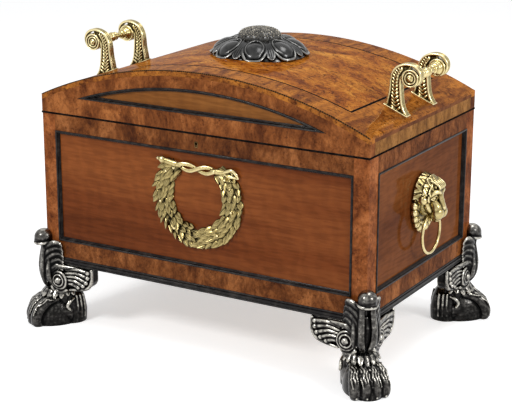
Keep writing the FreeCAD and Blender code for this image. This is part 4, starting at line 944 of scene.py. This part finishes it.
leaf_rib = [(48, 2, 3), (66, 4, 4), (84, 7, 4), (99, 7, 4), (104, 2, 4)]
rosette = Carving(above_lid)
rosette.turned(bowl, around=64)
for number in range(8):
    spin = Matrix.Rotation(math.radians(45 * (number + 0.5)), 3, "Z")
    rosette.place = lambda x, y, z, spin=spin: above_lid(*(spin @ Vector((x, y, z))))
    rosette.ball((77, 0, 11), (29, 26, 17.5), (0, 0.52, 0), around=36, up=22)
    rosette.ball((60, 0, 20), (18, 14, 10), (0, 0.42, 0), around=24, up=14)
    # two rims run round each petal, the outer one thicker
    for reach, breadth, width, lift in ((31, 30.5, 3.4, 2.6), (24.5, 23.5, 1.7, 6.2)):
        rim = [on_bowl(76 + reach * x, breadth * y * (0.80 + 0.20 * x), lift) for x, y in circle(24)]
        rosette.strand(rim, width, closed=True, around=10, steps=3)
    spin = Matrix.Rotation(math.radians(45 * number), 3, "Z")
    rosette.place = lambda x, y, z, spin=spin: above_lid(*(spin @ Vector((x, y, z))))
    for lean in (-1, -0.33, 0.33, 1):
        rosette.strand([on_bowl(out, lean * across, lift) for out, across, lift in leaf_rib],
                       [1.4, 2.0, 2.8, 2.6, 1.8], 0.8)
# polished black, with painted highlight on the rims and petal tops and painted shade in the hollows between
# them
black_polish = carved_finish("black_polish", (0.004, 0.004, 0.004), (0.045, 0.045, 0.045),
                             (0.22, 0.217, 0.205), 0.22, grain=60.0, bump=0.05, stops=(0.02, 0.34, 0.60))
mesh = rosette.skin("rosette", 1.15, 2, rest_on_lid, painted_top_light=0.10)
finish_piece("rosette_petals", mesh, black_polish, "lid", ["lid_rosette"], 180)


# ---- seed pod ------------------------------------------------------------------------------------------
# A turned drum, ribbed below; the dome above is set close with small round seeds.

pod_dome = [(46.4, 39), (43.5, 44), (38.5, 48.5), (31, 52), (21, 54.4), (10, 55.6)]
pod_profile = [(40, 12), (44.5, 17), (47.4, 27), (46.0, 30), (47.2, 33)] + pod_dome + [(0.4, 56)]
pod_ribs, rib_depth, steps = 30, 1.3, 240
loops = []
for out, z in pod_profile:
    depth = rib_depth if 15 < z < 41 else 0.0
    hollowed = [out - depth * abs(math.sin(pod_ribs * math.pi * n / steps)) for n in range(steps)]
    loops.append([above_lid(far * x, far * y, z) * MM for far, (x, y) in zip(hollowed, circle(steps))])
pod_black, tree, shader = new_finish("pod_black", 0.34, coat=0.2)
worn = noise(tree, stretched(tree), 120.0, 4.0, 0.7)
coloured(tree, shader, ramp(tree, worn, [(0.42, (0.005, 0.005, 0.004)), (0.68, (0.06, 0.055, 0.045))]))
seed_bronze, tree, shader = new_finish("seed_bronze", 0.30, metallic=0.8)
worn = noise(tree, stretched(tree), 150.0, 3.0, 0.6)
coloured(tree, shader, ramp(tree, worn, [(0.42, (0.015, 0.013, 0.010)), (0.60, (0.34, 0.31, 0.25))]))
finish_piece("pod_drum", lofted("pod", loops, join_ends=False), pod_black, "lid",
             ["rosette_seed_pod"], 60)
# the seeds follow the golden angle, which spaces them evenly
seeds = 300
dome_out, dome_z = zip(*([(0, 56)] + pod_dome[::-1]))
seed_spots, seed_turns = [], []
for number in range(seeds):
    out = dome_out[-1] * math.sqrt((number + 0.5) / seeds)
    angle = number * math.pi * (3 - math.sqrt(5))
    level = float(np.interp(out, dome_out, dome_z))
    seed_spots.append(above_lid(out * math.cos(angle), out * math.sin(angle), level - 0.7) * MM)
    seed_turns.append((0, 0, angle))
pip = bmesh.new()
bmesh.ops.create_icosphere(pip, subdivisions=1, radius=1.0 * MM,
                           matrix=Matrix.Diagonal((2.3, 2.0, 2.1, 1)))
mesh = repeated("pod_seeds", mesh_of("pip", pip), seed_spots, seed_turns, seed_bronze)
finish_piece("pod_seeds", mesh, seed_bronze, "lid", smooth_up_to=180)


# ---- handles ---------------------------------------------------------------------------------------------
# Four cast brackets, gilt and burnished: reeds up the outer edge curl into a volute, scales fill the sides.

# the gilt paints shade into the hollows and highlight onto the edges of every piece it finishes, besides
# their burnish
gilt = carved_finish("burnished_gilt", (0.030, 0.022, 0.008), (0.31, 0.240, 0.095), (0.76, 0.65, 0.36), 0.25,
                     bump=0.12, stops=(0.10, 0.46, 0.74))
handle_y, bar_x, bar_z = 66.0, 395.1, 613.0


def arch_level(x):
    return lid_axis + math.sqrt(lid_radius ** 2 - x ** 2)


def bracket():
    def upright(x, z, y):
        return Vector((x, y, z))
    cast = Carving(upright)
    outer = [(343, arch_level(343)), (345.5, 566), (349.5, 585), (351.5, 605), (355, 619), (364, 632),
             (378, 639), (393, 640.5), (406, 636.5), (415, 626.5), (416, 613), (408.5, 601), (395, 596.5)]
    inner = [(388, arch_level(388)), (380, 546), (375.5, 560), (373.2, 580), (372.0, 603), (375, 614),
             (382, 621), (390, 624)]
    field = outer[:8] + [(395, 628)] + inner[::-1]
    half = 5.6
    cast.slab(field, -half, half)
    for edge, widths in ((outer, [3.1] * 8 + [3.0, 2.9, 2.8, 2.6, 2.4]), (inner, [3.0] * 6 + [2.6, 2.2])):
        for y in (-half, 0, half):
            cast.strand([(x, z, y) for x, z in edge], widths, around=10)
    # rows of scales climb both sides of the field
    rows, marks = 13, [0, 0.25, 0.6, 0.8, 1.0]
    for side in (-1, 1):
        for row in range(rows):
            share = row / (rows - 1)
            middle = np.array([np.interp(share, marks, [365.5, 361.5, 361.5, 365, 374]),
                               np.interp(share, marks, [548, 570, 602, 618, 629])])
            wide = np.interp(share, [0, 0.3, 1.0], [12.0, 7.2, 5.4])
            climb = np.interp(share, [0, 0.6, 0.85, 1.0], [0.15, 0.0, -0.6, -1.1])
            for lean in (-1, 1):
                start = (*(middle + (0, -4)), side * half)
                bend = (*(middle + (lean * wide * 0.55 + climb, 1.5)), side * (half + 1.3))
                tip = (*(middle + (lean * wide + climb * 4, 6.0)), side * (half + 0.6))
                cast.strand([start, bend, tip], [2.2, 2.6, 1.2], around=8)
    # the volute: a disc with a rolled rim, an inner ring and a pointed button
    for side in (-1, 1):
        cast.place = lambda x, y, z, side=side: Vector((bar_x + x, side * z, bar_z + y))
        cast.turned([(0, -2), (18.5, -2), (19.5, 4), (18.2, 8.2), (13, 8.0), (0, 8.0)], around=48)
        for ring_out, ring_level, ring_width in ((16.9, 8.2, 2.4), (11.2, 8.8, 1.7)):
            cast.strand([(ring_out * x, ring_out * y, ring_level) for x, y in circle(16)], ring_width,
                        closed=True, around=8, steps=3)
        cast.turned([(0, 6), (7.6, 6), (8.0, 9), (6.4, 11), (3.2, 12.2), (2.4, 13.4), (0, 14.4)], around=32)
    # the flange that the screws hold down
    cast.place = upright
    low, high = 338.0, 391.0
    cast.slab([(low, arch_level(low) - 1), (high, arch_level(high) - 1), (high, arch_level(high) + 2.6),
               (low, arch_level(low) + 2.6)], -10.5, 10.5)
    return cast.skin("bracket", 0.9, 2, rest_on_lid)


bracket_mesh = bracket()
for name, turn, y in (("right_front", 0, -1), ("right_back", 0, 1), ("left_front", math.pi, -1),
                      ("left_back", math.pi, 1)):
    mesh = turned_copy(bracket_mesh, name, turn, Vector((0, y * handle_y, 0)) * MM)
    stands_for = ["lid_handle_brackets"] if name == "right_front" else ()
    finish_piece(f"{name}_bracket", mesh, gilt, "lid", stands_for, 180)


# ---- handle bars -----------------------------------------------------------------------------------------
# Turned brass bars, gilt: a ball in the middle between reels, and a stepped boss against each bracket.

half_bar = [(0, 11.0), (2.6, 10.7), (5.2, 9.7), (7.6, 8.0), (8.6, 6.6), (9.2, 6.4), (9.8, 8.6), (11.2, 9.6),
            (12.8, 9.6), (14.2, 8.6), (14.8, 6.6), (16.5, 5.7), (22, 6.0), (28, 6.8), (33, 7.4), (34.2, 7.2),
            (34.8, 9.0), (36.4, 10.2), (38.2, 9.2), (38.8, 7.8), (42, 7.4), (45.4, 8.6), (46.2, 11.2),
            (48.4, 12.4), (50.4, 11.4), (51.2, 13.6), (53.6, 14.8), (56, 15.0)]
bar_profile = [(-along, out) for along, out in half_bar[:0:-1]] + half_bar
bars = []
for side in (-1, 1):
    loops = [[Vector((side * bar_x + out * x, along, bar_z + out * z)) * MM for x, z in circle(40)]
             for along, out in bar_profile]
    bars.append(lofted("bar", loops, join_ends=False))
turned_gilt = brass("turned_gilt", (0.70, 0.58, 0.30), (0.42, 0.33, 0.14), 0.2)
mesh = one_mesh("bars", bars)
finish_piece("handle_rods", mesh, turned_gilt, "lid", ["lid_handle_bars"], 50)


# ---- laurel wreath ---------------------------------------------------------------------------------------
# Gilt brass: two sprays of overlapping pointed leaves over a rounded stem, meeting at the bottom.

wreath_z, wreath_out, panel_face = 348.0, 85.0, recess - half_y


def on_wreath(out, angle, proud):
    """Out from the wreath's middle, at an angle from its top, and proud of the panel."""
    return Vector((out * math.sin(angle), panel_face - proud, wreath_z + out * math.cos(angle))) * MM


def leaf_pattern(length, width):
    """A pointed leaf with a raised midrib and lifted tip, its painted shade on the low edges and painted
    highlight on the high ridges stored for the gilt.
    """
    stations = ((0.0, 0.35), (0.20, 0.86), (0.42, 1.0), (0.64, 0.84), (0.84, 0.46), (1.0, 0.03))
    points, depth = [], []
    for along, breadth in stations:
        half, lift = width / 2 * breadth, 2.4 * along ** 2
        # each point's last number is painted light: painted shade on the low edges and in the grooves beside
        # the midrib, painted highlight on the raised ridges
        for across, height, dark in ((-1, -1.6, 0.70), (-0.55, 1.4, 0.34), (-0.12, 0.8, 0.52), (0, 2.2, 0.22),
                                     (0.12, 0.8, 0.52), (0.55, 1.4, 0.34), (1, -1.6, 0.70)):
            points.append(Vector((length * along, half * across, height * breadth + lift)) * MM)
            # painted shade, darker towards the leaf's base
            depth.append(dark + 0.3 * (1 - along) ** 3)
    rows, around = len(stations), len(points) // len(stations)
    mesh = bpy.data.meshes.new("leaf")
    mesh.from_pydata(points, [], bands(rows, around) + caps(rows, around))
    held = mesh.attributes.new("shade_and_rub", "FLOAT", "POINT")
    held.data.foreach_set("value", depth)
    return mesh


front_turn = Matrix.Rotation(math.pi / 2, 3, "X")
chance = np.random.default_rng(11)
leaf_spots, leaf_turns, berry_spots = [], [], []
open_half, leaf_pitch, row_pitch = math.radians(38), 14.5, 10.4
for side in (-1, 1):
    for row in (-1.5, -0.5, 0.5, 1.5):
        out = wreath_out + row_pitch * row
        step = leaf_pitch / out
        for number in range(int((math.pi - open_half) / step)):
            angle = open_half + step * (number + 0.5 * ((row + 1.5) % 2)) + chance.uniform(-0.04, 0.04)
            lean = math.radians(9 * row + chance.uniform(-12, 12))
            heading = math.atan2(-math.sin(angle) * math.cos(lean) + math.cos(angle) * math.sin(lean),
                                 side * (math.cos(angle) * math.cos(lean) + math.sin(angle) * math.sin(lean)))
            leaf_spots.append(on_wreath(out, side * angle, 6.6 - 1.6 * row * row))
            tilt = Matrix.Rotation(-math.radians(13 + chance.uniform(-8, 8)), 3, "Y")
            roll = Matrix.Rotation(math.radians(-side * 14 * row + chance.uniform(-20, 20)), 3, "X")
            leaf_turns.append((front_turn @ Matrix.Rotation(heading, 3, "Z") @ tilt @ roll).to_euler())
    berry_spots += [on_wreath(wreath_out + 4, side * angle, 13.0) for angle in (0.95, 1.75, 2.5)]
mesh = repeated("laurel_leaves", leaf_pattern(22.5, 16.0), leaf_spots, leaf_turns, gilt)
finish_piece("laurel_leaves", mesh, gilt, "case", ["laurel_wreath"], 70)
berry = bmesh.new()
bmesh.ops.create_icosphere(berry, subdivisions=2, radius=3.0 * MM)
berry_turns = [(0, 0, 0)] * len(berry_spots)
mesh = repeated("laurel_berries", mesh_of("berry", berry), berry_spots, berry_turns, gilt)
finish_piece("laurel_berries", mesh, gilt, "case", smooth_up_to=180)
steps, stem_half, stem_proud = 96, 15, 6.6
loops = []
for number in range(steps + 1):
    angle = open_half + 2 * (math.pi - open_half) * number / steps
    loops.append([on_wreath(wreath_out + stem_half * x, angle, stem_proud * max(y, 0.0))
                  for x, y in circle(16)])
# the stem's gilt is darker than the leaves' as painted shade beneath them
shaded_stem_gilt = brass("shaded_stem_gilt", (0.20, 0.16, 0.07), (0.09, 0.07, 0.03), 0.4)
finish_piece("laurel_stem", lofted("stem", loops, join_ends=False), shaded_stem_gilt, "case")


# ---- ribbon ----------------------------------------------------------------------------------------------
# Two gilt ribbons twisted round each other; one end is cut off square, the other curls into a small scroll.

def on_panel(x, z, out):
    return Vector((x, panel_face - out, z))


ribbon = Carving(on_panel)
middle_z, half_knot = 412.0, 46.0


def ribbon_level(x):
    """The pair sags a little between its ends; the left end is the higher."""
    return middle_z + (11.0 if x < 0 else 4.0) * (abs(x) / 84) ** 1.5


# the two ribbons cross in the middle and close on each other where they leave the knot
for phase in (-1, 1):
    path = []
    for number in range(17):
        part = number / 8 - 1
        x = half_knot * part
        path.append((x, ribbon_level(x) + phase * 6.6 * math.sin(math.pi * part),
                     8.5 + 2.8 * phase * math.cos(math.pi * part)))
    ribbon.strand(path, 4.4, 0.62, around=12)
# the plain end on the left, then the right end, which rolls up into a flared scroll
for spots, widths, flat, around in (
    ([(x, 0, 9) for x in (-40, -52, -64, -76, -86)], [5.0, 6.8, 6.6, 6.2, 6.4], 0.75, 16),
    ([(x, 0, 9) for x in (-82, -85)], [8.0, 8.0], 0.9, 16),
    ([(x, -0.5, 9) for x in (-86, -94, -97)], [5.0, 4.2, 2.4], 1.0, 14),
    ([(x, 0, 9) for x in (40, 52, 62, 72)], [5.0, 6.2, 5.6, 5.6], 0.75, 16),
    ([(70, 0, 9), (78, 3, 9), (88, 5, 9), (97, -3, 8), (102, -12, 7)], [4.6, 4.4, 4.0, 3.4, 1.6], 1.0, 12),
    ([(72, -3, 9), (80, -8, 9), (90, -9, 9), (101, -12, 7)], [4.4, 4.0, 3.4, 1.8], 1.0, 12),
    ([(-54, -2, 4), (-58, -10, 4)], [4, 6], 1.0, 8),
    ([(54, -2, 4), (58, -10, 4)], [4, 6], 1.0, 8),
):
    ribbon.strand([(x, ribbon_level(x) + rise, proud) for x, rise, proud in spots], widths, flat,
                  around=around)
curl_x = 84
curl_z = ribbon_level(curl_x) - 2
ribbon.ball((curl_x, curl_z, 6), (11, 8, 4))
curl = [(curl_x + 5.0 * math.cos(0.8 * n), curl_z + 3.6 * math.sin(0.8 * n), 10) for n in range(8)]
ribbon.strand(curl, 1.5, around=8, steps=2)
mesh = ribbon.skin("ribbon", 0.8, 1)
finish_piece("twisted_ribbons", mesh, gilt, "case", ["wreath_ribbon"], 180)


# ---- lion masks ------------------------------------------------------------------------------------------
# Cast and chased brass, gilt: heavy brow and muzzle, the mane combed back in locks. The jaw holds the ring.

mask_x, mask_z = 393.0, 336.0
ring_x, ring_z, ring_out, wire = 420.0, 272.0, 44.0, 3.5


def lion_mask(side):
    head = Carving(lambda across, up, out: Vector((side * (mask_x + out), across, mask_z + up)))
    head.ball((0, -1, 0), (42, 57, 9), around=36)
    head.ball((0, 8, 12), (33, 36, 24), around=32, up=18)
    head.ball((0, 32, 27), (20, 16, 16))
    # nose, its tip and the big rounded muzzle, which runs back under the eyes
    head.strand([(0, 36, 41), (0, 20, 46), (0, 5, 50), (0, -4, 52)], [8, 6.5, 7, 8], 0.9, around=16)
    head.ball((0, -6, 51), (9, 5.5, 5))
    for sign in (-1, 1):
        head.strand([(sign * 11, 9, 34), (sign * 10, -3, 41), (sign * 9, -12, 43)], [8, 12, 13], around=24)
        head.ball((sign * 8.5, -16, 43.5), (14.5, 15.5, 14.8), around=30, up=20)
        # cheek bone from the eye down to the muzzle
        head.strand([(sign * 27, 10, 26), (sign * 24, -2, 28), (sign * 17, -12, 33)], [5, 6.5, 5], around=14)
        # brow, eyelids and eyeball
        head.strand([(sign * 4, 26, 46), (sign * 12, 31, 45), (sign * 22, 28, 38), (sign * 30, 19, 30)],
                    [4.5, 5.6, 5.4, 3.8], around=14)
        head.ball((sign * 15, 17.5, 37), (6.4, 5.4, 5.4))
        upper_lid = [(sign * 7, 16, 42), (sign * 14.5, 22.5, 42), (sign * 23, 16.5, 36)]
        lower_lid = [(sign * 7, 15, 42), (sign * 14.5, 11.5, 40.5), (sign * 23, 15, 36)]
        head.strand(upper_lid, [1.6, 2.0, 1.5], around=8)
        head.strand(lower_lid, [1.4, 1.7, 1.4], around=8)
        # ear: a smooth round lobe
        head.ball((sign * 37, 15, 21), (9.5, 10.5, 12), around=24, up=14)
    # lower jaw, under and before the ring
    head.ball((0, -31, 39), (10, 7, 9))
    head.strand([(0, -34, 36), (0, -33, 24), (0, -24, 14)], [6, 5, 5], around=12)
    # the mane: fine locks combed back over the brow to the rim
    head.ball((0, 34, 15), (33, 24, 20), around=28, up=16)
    head.ball((0, 20, 8), (46, 42, 14), around=36, up=18)
    for lane in (-9, -4.5, 0, 4.5, 9):
        head.strand([(lane * 0.8, 33, 46), (lane * 1.3, 41, 49), (lane * 1.6, 48, 42), (lane * 2.0, 54, 30)],
                    [2.0, 3.0, 2.8, 1.6], around=10)
    wild = np.random.default_rng(5)
    layers = ((0.46, 0.84, 47, 35), (0.64, 0.95, 42, 23), (0.78, 1.02, 33, 6))
    for layer, (near, far, high, low) in enumerate(layers):
        count = 17 + 4 * layer
        for number in range(count):
            angle = math.radians(12 + 156 * number / (count - 1)) + wild.uniform(-0.07, 0.07)
            first, last = near + wild.uniform(-0.03, 0.03), far + wild.uniform(-0.03, 0.03)
            side_on = abs(math.cos(angle))
            path = []
            for part, share in ((first, 0.0), ((first + last) / 2, 0.5), (last, 1.0)):
                bent = angle + 0.13 * math.sin(math.pi * share) * (1 if number % 2 else -1)
                level = (high + (low - high) * share ** 1.4) * (1 - 0.42 * side_on * (1 - share))
                far_out = min(part, 1.04)
                path.append((49 * far_out * math.cos(bent), 4 + 60 * far_out * math.sin(bent), level))
            for aside in (-2.5, 0, 2.5):
                head.strand([(x - aside * math.sin(angle), up + aside * math.cos(angle), out)
                             for x, up, out in path], [2.2, 2.4, 1.2], around=8, steps=4)
    # below the ears it falls in short rounded tufts along the rim, smaller ones between them and the jaw
    for sign in (-1, 1):
        for across, up in ((44.5, 2), (44, -12), (40, -26), (33, -39), (23, -49), (11, -55)):
            head.ball((sign * across, up, 7.5), (8.2, 9.2, 7.6), around=20, up=14)
        for across, up in ((34, -4), (33, -17), (27, -30), (17, -40), (6, -45)):
            head.ball((sign * across, up, 7.5), (5.6, 6.2, 5.0), around=14, up=10)

    def clear_of_ring(spots):
        """Nothing reaches into the panel, or into the room that the ring sweeps from hanging to lifted."""
        spots[:, 0] = side * np.maximum(side * spots[:, 0], mask_x + 0.1)
        aside, ahead = np.abs(spots[:, 1]), side * spots[:, 0] - ring_x
        below = ring_z + ring_out - spots[:, 2]
        sag = ring_out - np.sqrt(np.maximum(ring_out ** 2 - np.minimum(aside, ring_out) ** 2, 0.0))
        far = np.hypot(ahead, below)
        turn = np.arctan2(ahead, below)
        room = wire + 0.9
        swept = (aside < ring_out) & (turn > math.radians(-16)) & (turn < math.radians(84))
        inner, outer = sag - room, sag + room
        inside = swept & (far < outer) & (far > np.maximum(inner, 0.0))
        target = np.where((inner > 0) & (far - inner < outer - far), inner, outer)
        grow = np.where(inside, target / np.maximum(far, 0.01), 1.0)
        spots[:, 0] = side * (ring_x + ahead * grow)
        spots[:, 2] = ring_z + ring_out - below * grow
        return spots
    return head.skin("lion", 0.9, 2, clear_of_ring)


both_ends = ((-1, "left"), (1, "right"))
for side, name in both_ends:
    finish_piece(f"{name}_lion_head", lion_mask(side), gilt, "case", [f"{name}_lion_mask"],
                 180)


# ---- rings -----------------------------------------------------------------------------------------------
# Round brass rod bent to a ring and gilt; it hangs through the lion's jaw.

for side, name in both_ends:
    loops = [[Vector((side * ring_x + wire * y, (ring_out + wire * x) * along,
                      ring_z + (ring_out + wire * x) * above)) * MM for x, y in circle(20)]
             for along, above in circle(96)]
    finish_piece(f"{name}_hoop", lofted("hoop", loops), turned_gilt, f"{name}_ring",
                 [f"{name}_ring"], 180)


# ---- the room and the camera -------------------------------------------------------------------------------
# A pale floor that the soles stand on, and soft lamps above the front left, overhead and to the right.

def seen_directly(tree):
    """1 where the camera looks, also by way of a reflection or through glass."""
    rays = add_node(tree, "ShaderNodeLightPath").outputs
    direct = maths(tree, "MAXIMUM", rays["Is Camera Ray"], rays["Is Glossy Ray"])
    return maths(tree, "MAXIMUM", direct, rays["Is Transmission Ray"])


floor_mesh = bpy.data.meshes.new("floor")
floor_mesh.from_pydata([(-9, -9, 0), (9, -9, 0), (9, 9, 0), (-9, 9, 0)], [], [(0, 1, 2, 3)])
pale, tree, shader = new_finish("pale_floor", 0.9)
shader.inputs["Base Color"].default_value = (0.86, 0.86, 0.86, 1)
glow = add_node(tree, "ShaderNodeEmission", {"Color": (1, 1, 1, 1), "Strength": 0.50})
both = add_node(tree, "ShaderNodeAddShader", {0: shader.outputs[0], 1: glow.outputs[0]})
direct = seen_directly(tree)
seen = add_node(tree, "ShaderNodeMixShader", {0: direct, 1: shader.outputs[0], 2: both.outputs[0]})
tree.links.new(seen.outputs[0], tree.nodes["Material Output"].inputs["Surface"])
floor_mesh.materials.append(pale)
floor = placed("floor", floor_mesh)

world = bpy.data.worlds.new("studio")
bpy.context.scene.world = world
world.use_nodes = True
tree = world.node_tree
tree.nodes.clear()
room = add_node(tree, "ShaderNodeBackground", {"Color": (0.97, 0.98, 1.0, 1), "Strength": 0.48})
white = add_node(tree, "ShaderNodeBackground", {"Color": (1, 1, 1, 1), "Strength": 1.0})
direct = seen_directly(tree)
pick = add_node(tree, "ShaderNodeMixShader", {0: direct, 1: room.outputs[0], 2: white.outputs[0]})
add_node(tree, "ShaderNodeOutputWorld", {"Surface": pick.outputs[0]})


def lamp(name, power, size, where, aim):
    light = bpy.data.lights.new(name, "AREA")
    light.shape = "RECTANGLE"
    light.size, light.size_y = size
    light.energy = power
    holder = placed(name, light)
    holder.location = where
    holder.rotation_euler = (Vector(aim) - Vector(where)).to_track_quat("-Z", "Y").to_euler()


lamp("key_lamp", 52, (0.9, 0.7), (-0.9, -2.6, 2.3), (0, 0, 0.35))
lamp("top_lamp", 22, (1.4, 1.0), (0.8, 0.5, 3.0), (0, 0, 0.4))
lamp("side_lamp", 40, (0.8, 0.8), (2.9, -0.5, 1.8), (0.1, 0, 0.3))

bpy.context.scene.view_settings.view_transform = "Standard"
yaw, pitch, roll = math.radians(30.54), math.radians(16.42), math.radians(0.10)
focal_pixels, frame_pixels, sensor = 1548.2, 512, 36.0
camera_place = (1.6862, -2.8728, 1.254)
forward = Vector((-math.sin(yaw) * math.cos(pitch), math.cos(yaw) * math.cos(pitch), -math.sin(pitch)))
right = Vector((math.cos(yaw), math.sin(yaw), 0))
up = right.cross(forward)
right, up = (right * math.cos(roll) + up * math.sin(roll), up * math.cos(roll) - right * math.sin(roll))
camera_data = bpy.data.cameras.new("camera")
camera_data.sensor_width = sensor
camera_data.lens = focal_pixels / frame_pixels * sensor
camera = placed("camera", camera_data)
turn = Matrix((right, up, -forward)).transposed()
camera.matrix_world = Matrix.Translation(camera_place) @ turn.to_4x4()
bpy.context.scene.camera = camera
